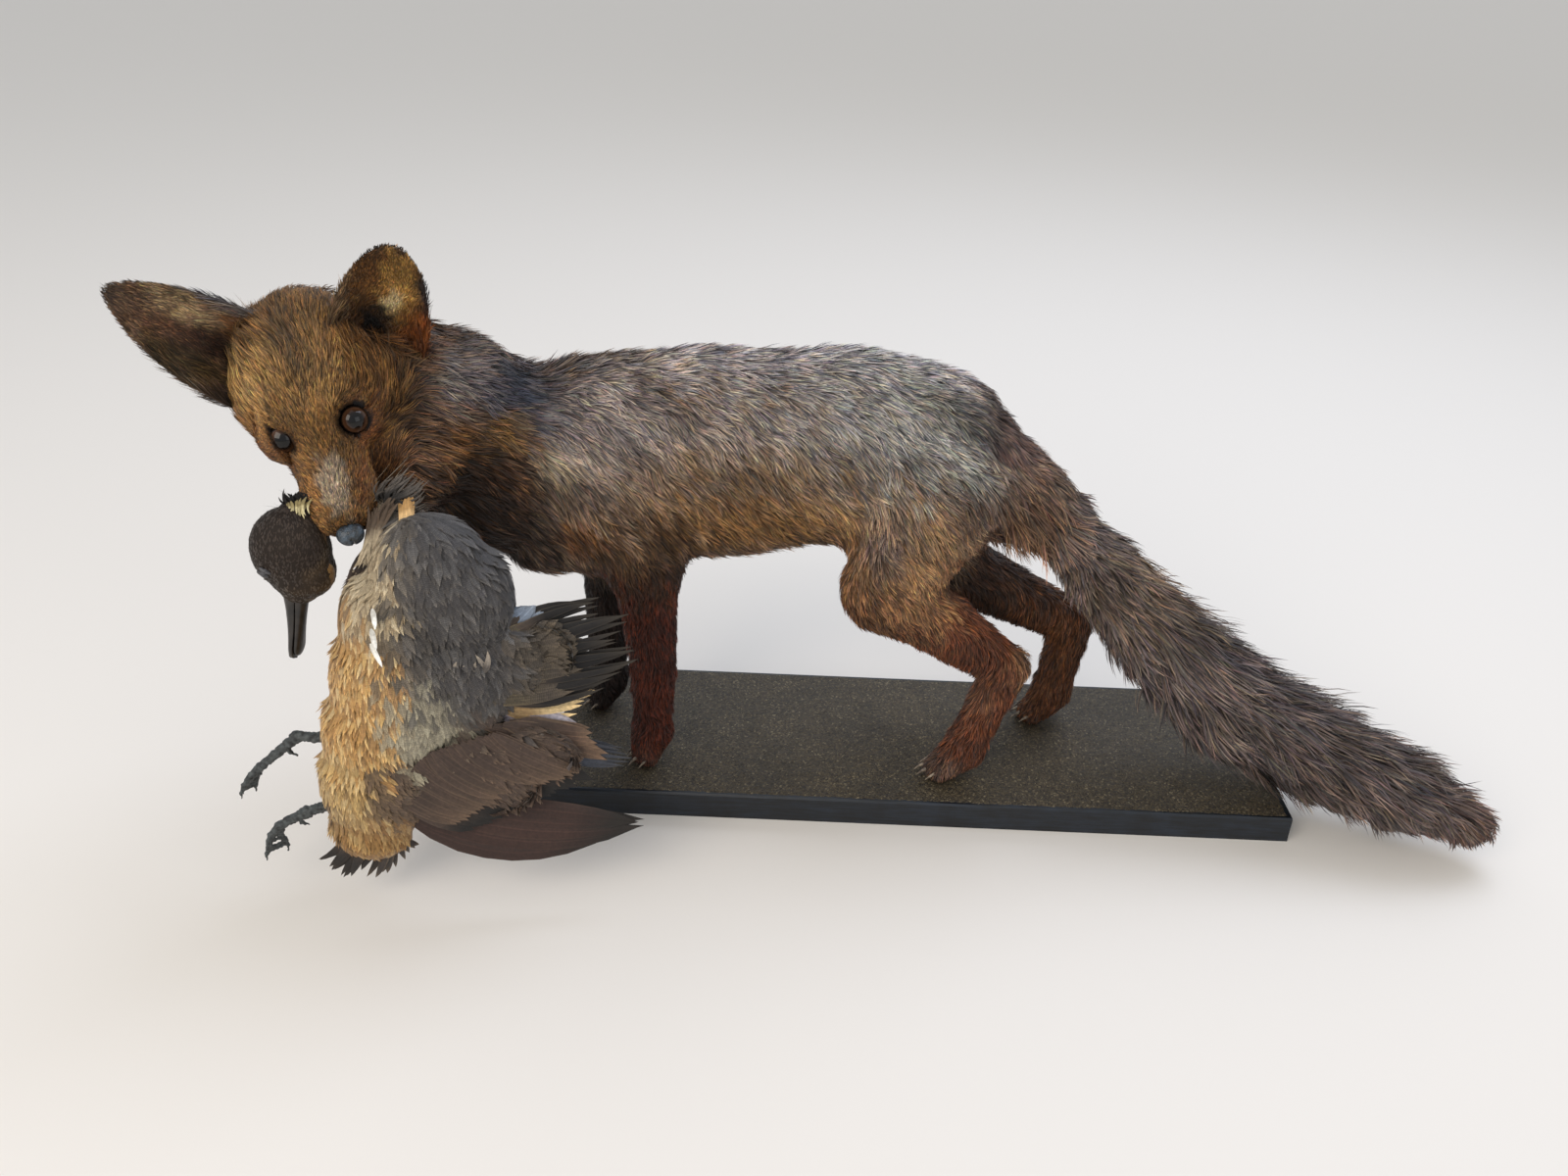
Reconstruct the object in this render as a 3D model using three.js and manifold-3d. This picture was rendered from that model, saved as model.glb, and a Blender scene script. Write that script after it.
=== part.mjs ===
/*
 * A red fox mounted whole on a painted board, its head turned back over its
 * left shoulder, with a dead duck held in its jaws.
 *
 * Frame: millimetres, +Z up, +X towards the tail, -Y to the fox's left.
 * The origin is the centre of the board's underside.
 *
 * The flesh of the fox is one smooth body, described as a distance field of
 * tapering rods and eggs.  It is turned into one closed surface, thinned, and
 * then parted with thin plane cuts into the pieces a person would name.
 */
import * as THREE from 'three';
import { mergeVertices } from 'three/addons/utils/BufferGeometryUtils.js';
import Module from 'manifold-3d';

const wasm = await Module();
wasm.setup();

// ---------------------------------------------------------------- dimensions

const GAP = 0.3; // clear space between two pieces that touch

const BOARD = { long: 642, wide: 198, thick: 24, bevel: 1.5 };
const TOP = BOARD.thick; // the level the paws stand on
const MIDLINE = -8; // the fox stands this far to the front of the board's middle

// In the head's own frame: x to the nose, y to the left ear, z up through the brow.
const EYE = { radius: 10.6, at: [-1, 23.5, 2], socket: 13, socketAt: [2.5, 27, 7.5] };
const EAR = { cup: 20, thick: 3.4, rows: 8, columns: 8 };
const EAR_LEFT = { base: [-42, 48, -6], tip: [-63, 83, 99], face: [0.8, -0.1, 0.5], wide: 35, taper: 0.5 };
const EAR_RIGHT = { base: [-55, -32, 14], tip: [-101, -97, 71], face: [0.6, 0.1, 0.8], wide: 35, taper: 0.7 };
const NOSE = { at: [76, 0, -12], size: [7.2, 9.6, 7.6] };
const BITE = { radius: 8.5, half: 27, at: [40, 0, -31] }; // the duck's neck in the jaws
const PAW = { spread: 8, toe: 7.5, stagger: 6, rise: 8 };

// Stations down each leg and along the tail: x, y, z and the radius there.
const FORELEG_LEFT = {
  root: [-262, -40, 262, 38],
  bend: [-233, -47, 206, 26],
  hock: [-228, -49, 110, 19],
  foot: [-230, -51, 54, 16],
  toes: [-241, -58],
};
const FORELEG_RIGHT = {
  root: [-290, 24, 262, 38],
  bend: [-275, 30, 206, 26],
  hock: [-279, 33, 110, 19],
  foot: [-280, 33, 54, 16],
  toes: [-294, 28],
};
const HINDLEG_LEFT = {
  root: [0, -32, 280, 52],
  bend: [-36, -50, 205, 35],
  hock: [71, -50, 134, 19],
  foot: [42, -53, 50, 17],
  toes: [14, -58],
};
const HINDLEG_RIGHT = {
  root: [16, 18, 270, 50],
  bend: [14, 34, 192, 33],
  hock: [141, 39, 130, 20],
  foot: [133, 40, 54, 17],
  toes: [109, 37],
};
const TAIL = [
  [66, MIDLINE, 284, 29],
  [105, -9, 255, 28],
  [148, -17, 208, 36],
  [195, -28, 160, 40],
  [263, -46, 106, 44],
  [338, -68, 74, 42],
  [401, -91, 54, 37],
  [460, -111, 37, 23],
];
const NECK = [
  [-310, -12, 302, 62],
  [-345, -26, 322, 50],
  [-378, -44, 352, 50],
  [-420, -72, 377, 49],
  [-460, -102, 394, 42],
];

const DUCK_CLEAR = 2; // the duck's plumage stays this far from the fox
const CELL = { fox: 5, duck: 4 }; // grid the soft surfaces are found on
const BUDGET = { fox: 4200, duckBody: 760, duckHead: 170 }; // triangles they keep

// The head's own frame: its middle between the eyes, x to the nose, y to the
// fox's left ear, z up through the brow.
const HEAD = {
  at: new THREE.Vector3(-442, -155, 366),
  nose: new THREE.Vector3(0.381, -0.639, -0.668),
  left: new THREE.Vector3(0.917, 0.352, 0.187),
};

// -------------------------------------------------------------- field basics

/** A tapering rod from a to b.  flat narrows it across Y. */
function rod(a, b, ra, rb, flat = 1) {
  const [ax, ay, az] = a;
  const ux = b[0] - ax;
  const uy = (b[1] - ay) / flat;
  const uz = b[2] - az;
  const uu = ux * ux + uy * uy + uz * uz;
  return (x, y, z) => {
    const px = x - ax;
    const py = (y - ay) / flat;
    const pz = z - az;
    const t = Math.min(1, Math.max(0, (px * ux + py * uy + pz * uz) / uu));
    const away = Math.hypot(px - ux * t, py - uy * t, pz - uz * t);
    return (away - ra - (rb - ra) * t) * flat;
  };
}

/** An egg: centre c, half sizes r, turned by the Euler angles given in degrees. */
function egg(c, r, turn = [0, 0, 0]) {
  const euler = new THREE.Euler(...turn.map(THREE.MathUtils.degToRad));
  const m = new THREE.Matrix4().makeRotationFromEuler(euler).elements;
  return (x, y, z) => {
    const px = x - c[0];
    const py = y - c[1];
    const pz = z - c[2];
    const qx = (m[0] * px + m[1] * py + m[2] * pz) / r[0];
    const qy = (m[4] * px + m[5] * py + m[6] * pz) / r[1];
    const qz = (m[8] * px + m[9] * py + m[10] * pz) / r[2];
    const near = Math.hypot(qx, qy, qz);
    const slope = Math.hypot(qx / r[0], qy / r[1], qz / r[2]);
    return slope > 1e-9 ? (near * (near - 1)) / slope : -Math.min(...r);
  };
}

/** Joins fields with a fillet about k wide. */
function blend(k, ...fields) {
  return (x, y, z) => {
    let d = fields[0](x, y, z);
    for (let i = 1; i < fields.length; i += 1) {
      const e = fields[i](x, y, z);
      const h = Math.max(k - Math.abs(d - e), 0) / k;
      d = Math.min(d, e) - (h * h * k) / 4;
    }
    return d;
  };
}

/** Takes one field out of another, with a rounded lip about k wide. */
function hollow(k, body, cutter) {
  return (x, y, z) => {
    const d = body(x, y, z);
    const e = -cutter(x, y, z);
    const h = Math.max(k - Math.abs(d - e), 0) / k;
    return Math.max(d, e) + (h * h * k) / 4;
  };
}

/** A chain of rods through points [x, y, z, radius]. */
function chain(k, stations, flat = 1) {
  const rods = [];
  for (let i = 1; i < stations.length; i += 1) {
    const [a, b] = [stations[i - 1], stations[i]];
    rods.push(rod(a.slice(0, 3), b.slice(0, 3), a[3], b[3], flat));
  }
  return blend(k, ...rods);
}

// ------------------------------------------------------------ surface finder

/**
 * Fills in grid squares whose inside corners only meet across a diagonal, where
 * the surface would pinch two sheets together along one edge.
 */
function unpinch(value, step) {
  for (let m = 0; m < 3; m += 1) {
    const [p, q] = [step[(m + 1) % 3], step[(m + 2) % 3]];
    for (let here = 0; here < value.length - p - q; here += 1) {
      const square = [here, here + p, here + q, here + p + q];
      const [a, b, c, d] = square.map((i) => value[i] < 0);
      if (a !== d || b !== c || a === b) continue;
      const outside = square.filter((i) => value[i] >= 0);
      value[value[outside[0]] < value[outside[1]] ? outside[0] : outside[1]] = -1e-3;
    }
  }
}

/** The closed surface where a field is zero inside a box, as points and faces. */
function surface(field, low, high, cell) {
  const n = low.map((v, i) => Math.ceil((high[i] - v) / cell) + 1);
  const value = new Float32Array(n[0] * n[1] * n[2]);
  const at = (i, j, k) => (k * n[1] + j) * n[0] + i;
  for (let k = 0; k < n[2]; k += 1) {
    for (let j = 0; j < n[1]; j += 1) {
      for (let i = 0; i < n[0]; i += 1) {
        value[at(i, j, k)] = field(low[0] + i * cell, low[1] + j * cell, low[2] + k * cell);
      }
    }
  }
  const step = [1, n[0], n[0] * n[1]];
  for (let pass = 0; pass < 3; pass += 1) unpinch(value, step);
  const corners = [];
  for (let c = 0; c < 8; c += 1) corners.push([c & 1, (c >> 1) & 1, c >> 2]);
  const edges = [];
  for (let a = 0; a < 8; a += 1) {
    for (const bit of [1, 2, 4]) if (!(a & bit)) edges.push([a, a | bit]);
  }
  const points = [];
  const owner = new Map();
  for (let k = 0; k < n[2] - 1; k += 1) {
    for (let j = 0; j < n[1] - 1; j += 1) {
      for (let i = 0; i < n[0] - 1; i += 1) {
        const v = corners.map(([x, y, z]) => value[at(i + x, j + y, k + z)]);
        const sum = [0, 0, 0];
        let hits = 0;
        for (const [a, b] of edges) {
          if (v[a] < 0 === v[b] < 0) continue;
          const t = v[a] / (v[a] - v[b]);
          for (let m = 0; m < 3; m += 1) sum[m] += corners[a][m] + t * (corners[b][m] - corners[a][m]);
          hits += 1;
        }
        if (!hits) continue;
        owner.set(at(i, j, k), points.length / 3);
        points.push(...sum.map((s, m) => low[m] + cell * ([i, j, k][m] + s / hits)));
      }
    }
  }
  const faces = [];
  for (let k = 1; k < n[2] - 1; k += 1) {
    for (let j = 1; j < n[1] - 1; j += 1) {
      for (let i = 1; i < n[0] - 1; i += 1) {
        const here = at(i, j, k);
        for (let m = 0; m < 3; m += 1) {
          const inside = value[here] < 0;
          if (inside === value[here + step[m]] < 0) continue;
          const [p, q] = [step[(m + 1) % 3], step[(m + 2) % 3]];
          const ring = [here - p - q, here - q, here, here - p].map((c) => owner.get(c));
          if (!inside) ring.reverse();
          faces.push(ring[0], ring[1], ring[2], ring[0], ring[2], ring[3]);
        }
      }
    }
  }
  return { points, faces };
}

/** A smallest-first queue of [cost, ...] entries. */
class Queue {
  constructor() {
    this.heap = [];
  }

  push(entry) {
    const { heap } = this;
    let i = heap.push(entry) - 1;
    while (i > 0) {
      const up = (i - 1) >> 1;
      if (heap[up][0] <= entry[0]) break;
      heap[i] = heap[up];
      i = up;
    }
    heap[i] = entry;
  }

  pop() {
    const { heap } = this;
    const first = heap[0];
    const entry = heap.pop();
    if (!heap.length) return first;
    let i = 0;
    for (;;) {
      let down = 2 * i + 1;
      if (down >= heap.length) break;
      if (down + 1 < heap.length && heap[down + 1][0] < heap[down][0]) down += 1;
      if (heap[down][0] >= entry[0]) break;
      heap[i] = heap[down];
      i = down;
    }
    heap[i] = entry;
    return first;
  }
}

/**
 * Thins a closed mesh to a budget of triangles by folding away its cheapest
 * edges.  care(x, y, z) is how much more than usual a place is worth.
 */
function thin({ points, faces }, budget, care) {
  const count = points.length / 3;
  const spot = (v) => points.slice(3 * v, 3 * v + 3);
  const around = Array.from({ length: count }, () => new Set());
  const quadric = Array.from({ length: count }, () => new Float64Array(10));
  const stamp = new Int32Array(count);
  let left = faces.length / 3;
  const cross = (a, b, c) => [
    (b[1] - a[1]) * (c[2] - a[2]) - (b[2] - a[2]) * (c[1] - a[1]),
    (b[2] - a[2]) * (c[0] - a[0]) - (b[0] - a[0]) * (c[2] - a[2]),
    (b[0] - a[0]) * (c[1] - a[1]) - (b[1] - a[1]) * (c[0] - a[0]),
  ];
  for (let f = 0; f < left; f += 1) {
    const tri = faces.slice(3 * f, 3 * f + 3);
    const [a, b, c] = tri.map(spot);
    const up = cross(a, b, c);
    const size = Math.hypot(...up) || 1e-9;
    const [x, y, z] = up.map((u) => u / size);
    const w = -(x * a[0] + y * a[1] + z * a[2]);
    const worth = size * care(a[0], a[1], a[2]);
    const plane = [x * x, x * y, x * z, x * w, y * y, y * z, y * w, z * z, z * w, w * w];
    for (const v of tri) {
      around[v].add(f);
      plane.forEach((p, i) => { quadric[v][i] += p * worth; });
    }
  }
  const cost = (q, [x, y, z]) => q[0] * x * x + 2 * q[1] * x * y + 2 * q[2] * x * z + 2 * q[3] * x
    + q[4] * y * y + 2 * q[5] * y * z + 2 * q[6] * y + q[7] * z * z + 2 * q[8] * z + q[9];
  const best = (q, a, b) => {
    const m = new THREE.Matrix3().set(q[0], q[1], q[2], q[1], q[4], q[5], q[2], q[5], q[7]);
    const middle = a.map((v, i) => (v + b[i]) / 2);
    const span = Math.hypot(a[0] - b[0], a[1] - b[1], a[2] - b[2]);
    if (Math.abs(m.determinant()) > 1e-3 * (q[0] + q[4] + q[7]) ** 3 / 27) {
      const p = new THREE.Vector3(-q[3], -q[6], -q[8]).applyMatrix3(m.invert()).toArray();
      if (Math.hypot(p[0] - middle[0], p[1] - middle[1], p[2] - middle[2]) < span) return p;
    }
    return middle;
  };
  const queue = new Queue();
  const offer = (u, v) => {
    const q = quadric[u].map((s, i) => s + quadric[v][i]);
    const [a, b] = [spot(u), spot(v)];
    const p = best(q, a, b);
    const length = (a[0] - b[0]) ** 2 + (a[1] - b[1]) ** 2 + (a[2] - b[2]) ** 2;
    queue.push([cost(q, p) + 0.02 * length, u, v, stamp[u], stamp[v], p, q]);
  };
  const neighbours = (v) => {
    const found = new Set();
    for (const f of around[v]) for (let i = 0; i < 3; i += 1) found.add(faces[3 * f + i]);
    found.delete(v);
    return found;
  };
  for (let v = 0; v < count; v += 1) for (const u of neighbours(v)) if (u > v) offer(v, u);
  const turns = (v, other, p) => {
    for (const f of around[v]) {
      const tri = faces.slice(3 * f, 3 * f + 3);
      if (tri.includes(other)) continue;
      const before = cross(...tri.map(spot));
      const after = cross(...tri.map((t) => (t === v ? p : spot(t))));
      const dot = before[0] * after[0] + before[1] * after[1] + before[2] * after[2];
      if (dot < 0.3 * Math.hypot(...before) * Math.hypot(...after)) return true;
    }
    return false;
  };
  while (left > budget && queue.heap.length) {
    const [, u, v, su, sv, p, q] = queue.pop();
    if (stamp[u] !== su || stamp[v] !== sv) continue;
    const nu = neighbours(u);
    const shared = [...neighbours(v)].filter((t) => nu.has(t));
    if (shared.length !== 2 || turns(u, v, p) || turns(v, u, p)) continue;
    for (const f of [...around[v]]) {
      const tri = faces.slice(3 * f, 3 * f + 3);
      if (tri.includes(u)) {
        for (const t of tri) around[t].delete(f);
        left -= 1;
      } else {
        for (let i = 0; i < 3; i += 1) if (faces[3 * f + i] === v) faces[3 * f + i] = u;
        around[v].delete(f);
        around[u].add(f);
      }
    }
    for (let i = 0; i < 3; i += 1) points[3 * u + i] = p[i];
    quadric[u] = q;
    stamp[u] += 1;
    stamp[v] = -1;
    for (const t of neighbours(u)) offer(Math.min(t, u), Math.max(t, u));
  }
  const kept = new Set();
  around.forEach((set) => set.forEach((f) => kept.add(f)));
  const geometry = new THREE.BufferGeometry();
  geometry.setAttribute('position', new THREE.Float32BufferAttribute(points, 3));
  geometry.setIndex([...kept].flatMap((f) => faces.slice(3 * f, 3 * f + 3)));
  return geometry;
}

// -------------------------------------------------------------- solid basics

/** A three.js geometry as a solid. */
function solid(geometry) {
  const bare = geometry.clone();
  bare.deleteAttribute('normal');
  bare.deleteAttribute('uv');
  const merged = mergeVertices(bare, 1e-4);
  const mesh = new wasm.Mesh({
    numProp: 3,
    vertProperties: new Float32Array(merged.attributes.position.array),
    triVerts: new Uint32Array(merged.index.array),
  });
  return new wasm.Manifold(mesh);
}

/** A solid as a three.js geometry. */
function shape(body) {
  const mesh = body.getMesh();
  const geometry = new THREE.BufferGeometry();
  geometry.setAttribute('position', new THREE.BufferAttribute(mesh.vertProperties.slice(), 3));
  geometry.setIndex(new THREE.BufferAttribute(mesh.triVerts.slice(), 1));
  geometry.computeVertexNormals();
  return geometry;
}

/** The largest single body in a solid, without the crumbs that a cut leaves. */
function largest(body) {
  return body.decompose().sort((a, b) => b.volume() - a.volume())[0];
}

/** Half of space: all that lies past a point in a direction, moved back by grow. */
function half(point, direction, grow = 0) {
  const reach = 1600;
  const way = new THREE.Vector3(...direction).normalize();
  const box = new THREE.BoxGeometry(reach, reach, reach);
  box.translate(0, 0, reach / 2 - grow);
  box.applyQuaternion(new THREE.Quaternion().setFromUnitVectors(new THREE.Vector3(0, 0, 1), way));
  box.translate(...point);
  return solid(box);
}

/** The space inside several planes, each given as [point, inward direction]. */
function region(planes, grow = 0) {
  return planes.map(([p, d]) => half(p, d, grow)).reduce((a, b) => a.intersect(b));
}

// ------------------------------------------------------------------- the fox

const up = new THREE.Vector3().crossVectors(HEAD.nose, HEAD.left).normalize();
const left = new THREE.Vector3().crossVectors(up, HEAD.nose).normalize();
const headFrame = new THREE.Matrix4().makeBasis(HEAD.nose.clone().normalize(), left, up)
  .setPosition(HEAD.at);

/** A field written in the head's own frame, for use in the fox's. */
function inHead(field) {
  const m = headFrame.clone().invert().elements;
  return (x, y, z) => field(
    m[0] * x + m[4] * y + m[8] * z + m[12],
    m[1] * x + m[5] * y + m[9] * z + m[13],
    m[2] * x + m[6] * y + m[10] * z + m[14],
  );
}

/** A point given in the head's own frame, in the fox's. */
function fromHead(x, y, z) {
  return new THREE.Vector3(x, y, z).applyMatrix4(headFrame);
}

/** The same piece on both sides of the head. */
function bothSides(make) {
  return [make(1), make(-1)];
}

/** The skull and muzzle under their coat, with a hollow for each eye. */
function skullField() {
  const mass = blend(
    12,
    egg([-36, 0, 6], [44, 37, 31]),
    egg([-58, 0, -4], [32, 37, 33]),
    egg([-66, 0, 10], [26, 34, 24]),
    ...bothSides((s) => egg([-9, s * 14, 7], [17, 14, 11])),
    ...bothSides((s) => egg([-20, s * 28, -13], [28, 15, 15])),
    egg([-42, 38, -18], [29, 25, 29]), // the cheek on the inside of the bend is bushier
    egg([-44, -30, -18], [26, 22, 27]),
    rod([4, 0, -8], [62, 0, -14], 24, 12.5),
    ...bothSides((s) => egg([40, s * 13, -19], [28, 13, 12])),
  );
  const [x, y, z] = EYE.socketAt;
  const round = [EYE.socket, EYE.socket, EYE.socket];
  return bothSides((s) => egg([x, s * y, z], round))
    .reduce((body, socket) => hollow(5, body, socket), mass);
}

/** The lower jaw: a bar on each side and the chin between them. */
function jawField() {
  return blend(
    8,
    ...bothSides((s) => rod([-30, s * 26, -32], [42, s * 7, -44], 16, 8)),
    rod([-24, 0, -36], [47, 0, -45], 18, 8),
  );
}

/** Four toes fanned from the end of the foot towards its tips. */
function pawField(foot, toes) {
  const way = new THREE.Vector3(toes[0] - foot[0], toes[1] - foot[1], 0).normalize();
  const side = new THREE.Vector3(-way.y, way.x, 0);
  const pad = [0, 1].map((i) => toes[i] * 0.45 + foot[i] * 0.55);
  const fan = [-1.5, -0.5, 0.5, 1.5].map((s) => {
    const back = Math.abs(s) > 1 ? PAW.stagger : 0;
    const along = (i) => toes[i] + side.getComponent(i) * s * PAW.spread - way.getComponent(i) * back;
    const from = (i) => pad[i] + side.getComponent(i) * s * PAW.spread * 0.75;
    return rod([from(0), from(1), TOP + 13], [along(0), along(1), TOP + PAW.rise], 9, PAW.toe);
  });
  return blend(4, rod(foot.slice(0, 3), [...pad, TOP + 14], foot[3], 14), ...fan);
}

/** A leg from the trunk down to its paw. */
function legField({ root, bend, hock, foot, toes }) {
  return blend(12, chain(6, [root, bend]), chain(6, [bend, hock, foot]), pawField(foot, toes));
}

/** The trunk: chest, barrel, loins and croup. */
function trunkField() {
  return blend(
    26,
    egg([-262, MIDLINE, 284], [82, 54, 96], [0, 8, 0]),
    egg([-180, MIDLINE, 300], [112, 54, 91]),
    egg([-70, MIDLINE, 310], [114, 50, 84], [0, 4, 0]),
    rod([2, MIDLINE, 314], [90, MIDLINE, 256], 59, 33, 0.85),
    rod([-300, MIDLINE, 300], [-330, MIDLINE - 4, 300], 66, 56, 0.75),
    egg([-320, MIDLINE - 8, 250], [48, 44, 58]),
  );
}

/** The neck, bent back to the fox's left, with its ruff and the loose fur of its throat. */
function neckField() {
  const ruff = egg([-460, -102, 406], [42, 40, 44]);
  const throat = [
    egg([-392, -70, 328], [44, 44, 48]),
    egg([-402, -106, 322], [34, 34, 36]),
    egg([-366, -50, 276], [44, 40, 50]),
  ];
  return blend(16, chain(12, NECK), ruff, ...throat);
}

/** The whole fox behind its head. */
function bodyField() {
  const limbs = [FORELEG_LEFT, FORELEG_RIGHT, HINDLEG_LEFT, HINDLEG_RIGHT].map(legField);
  return blend(20, trunkField(), neckField(), ...limbs, chain(5, TAIL));
}

/** How finely a place on the fox is modelled: the head and the feet most. */
function foxCare(x, y, z) {
  const head = HEAD.at.distanceTo(new THREE.Vector3(x, y, z)) < 95 ? 5 : 0;
  return 1 + head + (z < TOP + 40 ? 3 : 0);
}

/** The board: a plank with its upper edges eased. */
function boardShape() {
  const { long, wide, thick, bevel } = BOARD;
  const outline = new THREE.Shape();
  outline.moveTo(-wide / 2, 0);
  outline.lineTo(wide / 2, 0);
  outline.lineTo(wide / 2, thick - bevel);
  outline.lineTo(wide / 2 - bevel, thick);
  outline.lineTo(-wide / 2 + bevel, thick);
  outline.lineTo(-wide / 2, thick - bevel);
  outline.closePath();
  const plank = new THREE.ExtrudeGeometry(outline, { depth: long, bevelEnabled: false });
  plank.translate(0, 0, -long / 2);
  plank.rotateX(Math.PI / 2);
  return plank.rotateZ(Math.PI / 2);
}

/** One ear: a cupped leaf from base to tip, open towards face, grown outwards by more. */
function ear({ base, tip, face, wide, taper }, more = 0) {
  const { rows, columns } = EAR;
  const root = new THREE.Vector3(...base);
  const rise = new THREE.Vector3(...tip).sub(root);
  const axis = rise.clone().normalize();
  const open = new THREE.Vector3(...face).addScaledVector(axis, -axis.dot(new THREE.Vector3(...face)))
    .normalize();
  const side = new THREE.Vector3().crossVectors(axis, open);
  const sheet = (inset) => (t, v) => {
    const half = wide * (1 - t) ** taper * (1 + 0.6 * t) - inset * 0.8;
    const curl = THREE.MathUtils.lerp(1.9, 0.9, t);
    const depth = EAR.cup * (1 - 0.8 * t) - inset;
    const across = (half * Math.sin(v * curl)) / Math.sin(Math.min(curl, Math.PI / 2));
    const back = (-depth * (Math.cos(v * curl) - Math.cos(curl))) / (1 - Math.cos(curl));
    return root.clone().addScaledVector(rise, t).addScaledVector(side, across)
      .addScaledVector(open, back);
  };
  const positions = [];
  const index = [];
  const outer = sheet(-more);
  const inner = sheet(EAR.thick + more);
  const row = rows + 1;
  const column = columns + 1;
  for (const sheetPoint of [outer, inner]) {
    for (let i = 0; i < row; i += 1) {
      for (let j = 0; j < column; j += 1) {
        const t = (i / rows) * 0.97 - (more ? 0.01 : 0);
        positions.push(...sheetPoint(t, (2 * j) / columns - 1).toArray());
      }
    }
  }
  const id = (layer, i, j) => layer * row * column + i * column + j;
  const quad = (a, b, c, d) => index.push(a, b, c, a, c, d);
  for (let i = 0; i < rows; i += 1) {
    for (let j = 0; j < columns; j += 1) {
      quad(id(0, i, j), id(0, i + 1, j), id(0, i + 1, j + 1), id(0, i, j + 1));
      quad(id(1, i, j), id(1, i, j + 1), id(1, i + 1, j + 1), id(1, i + 1, j));
    }
    quad(id(0, i, 0), id(1, i, 0), id(1, i + 1, 0), id(0, i + 1, 0));
    quad(id(0, i, columns), id(0, i + 1, columns), id(1, i + 1, columns), id(1, i, columns));
  }
  for (let j = 0; j < columns; j += 1) {
    quad(id(0, 0, j), id(0, 0, j + 1), id(1, 0, j + 1), id(1, 0, j));
    quad(id(0, rows, j), id(1, rows, j), id(1, rows, j + 1), id(0, rows, j + 1));
  }
  const geometry = new THREE.BufferGeometry();
  geometry.setAttribute('position', new THREE.Float32BufferAttribute(positions, 3));
  geometry.setIndex(index);
  return geometry.applyMatrix4(headFrame);
}

/** A ball in the head's frame, stretched to the half sizes given. */
function ball(at, size, parts = 10) {
  const geometry = new THREE.SphereGeometry(1, parts, Math.round(parts * 0.7));
  geometry.scale(...size);
  geometry.translate(...at);
  return geometry.applyMatrix4(headFrame);
}

/** A rod of the duck's neck through the mouth, grown by more. */
function bite(more = 0) {
  const geometry = new THREE.CylinderGeometry(BITE.radius + more, BITE.radius + more, 2 * BITE.half, 16);
  geometry.translate(...BITE.at);
  return geometry.applyMatrix4(headFrame);
}

// ------------------------------------------------------------------ the duck

/** The duck's body with its wings and tail, and its head with the bill. */
function duckField() {
  const body = blend(
    16,
    rod([-404, -160, 322], [-380, -176, 300], 11, 24),
    egg([-369, -191, 272], [46, 37, 51]),
    egg([-346, -188, 258], [44, 34, 50]),
    egg([-404, -197, 232], [35, 34, 44]),
    egg([-400, -204, 190], [46, 38, 72]),
    egg([-350, -198, 196], [46, 26, 52]),
    egg([-416, -210, 122], [36, 30, 58]),
    rod([-416, -212, 100], [-417, -214, 70], 31, 20),
  );
  const tailFan = egg([-430, -218, 44], [33, 7, 30], [0, 20, 0]);
  const upperWing = blend(
    10,
    egg([-296, -176, 206], [58, 10, 36], [0, -6, -12]),
    rod([-300, -176, 220], [-243, -162, 240], 16, 6, 0.5),
  );
  const lowerWing = blend(
    10,
    egg([-338, -214, 108], [66, 14, 48], [0, 12, 0]),
    egg([-290, -204, 92], [64, 8, 34], [0, 14, 0]),
    rod([-300, -206, 84], [-230, -191, 68], 18, 6, 0.5),
  );
  const head = blend(
    8,
    rod([-447, -170, 318], [-455, -182, 312], 11, 20),
    egg([-457, -190, 298], [30, 22, 34]),
    rod([-459, -194, 264], [-465, -198, 216], 11, 6.5),
  );
  return { body: blend(14, body, tailFan, upperWing, lowerWing), head };
}

/** A slim bone of the duck's foot between two points. */
function bone(a, b, radius) {
  const [from, to] = [new THREE.Vector3(...a), new THREE.Vector3(...b)];
  const geometry = new THREE.CapsuleGeometry(radius, from.distanceTo(to), 2, 6);
  const way = to.clone().sub(from).normalize();
  geometry.applyQuaternion(new THREE.Quaternion().setFromUnitVectors(new THREE.Vector3(0, 1, 0), way));
  const middle = from.add(to).multiplyScalar(0.5);
  return solid(geometry.translate(middle.x, middle.y, middle.z));
}

/** A shank, and three toes hanging together from its end. */
function duckFoot(hip, ankle, tip) {
  const toes = [-1, 0, 1].map((s) => [tip[0] + s * 7, tip[1] + s * 5, tip[2] - Math.abs(s) * 3]);
  return [bone(hip, ankle, 4), ...toes.map((toe) => bone(ankle, toe, 3))];
}

// ----------------------------------------------------------- build and part

const flesh = blend(14, bodyField(), inHead(blend(7, skullField(), jawField())));
const whole = solid(thin(
  surface(flesh, [-600, -290, 0], [520, 90, 475], CELL.fox),
  BUDGET.fox,
  foxCare,
));

const [eyeX, eyeY, eyeZ] = EYE.at;
const eyes = { eye_left: [eyeX, eyeY, eyeZ], eye_right: [eyeX, -eyeY, eyeZ] };
const ears = { ear_left: EAR_LEFT, ear_right: EAR_RIGHT };
const eyeball = (at, more = 0) => {
  const radius = EYE.radius + more;
  return solid(ball(at, [radius, radius, radius]));
};
const nosePad = (more = 0) => solid(ball(NOSE.at, NOSE.size.map((v) => v + more)));

let fox = whole.subtract(solid(bite(GAP))).subtract(nosePad(GAP));
for (const at of Object.values(eyes)) fox = fox.subtract(eyeball(at, GAP));
for (const spec of Object.values(ears)) fox = fox.subtract(solid(ear(spec, GAP)));

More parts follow.
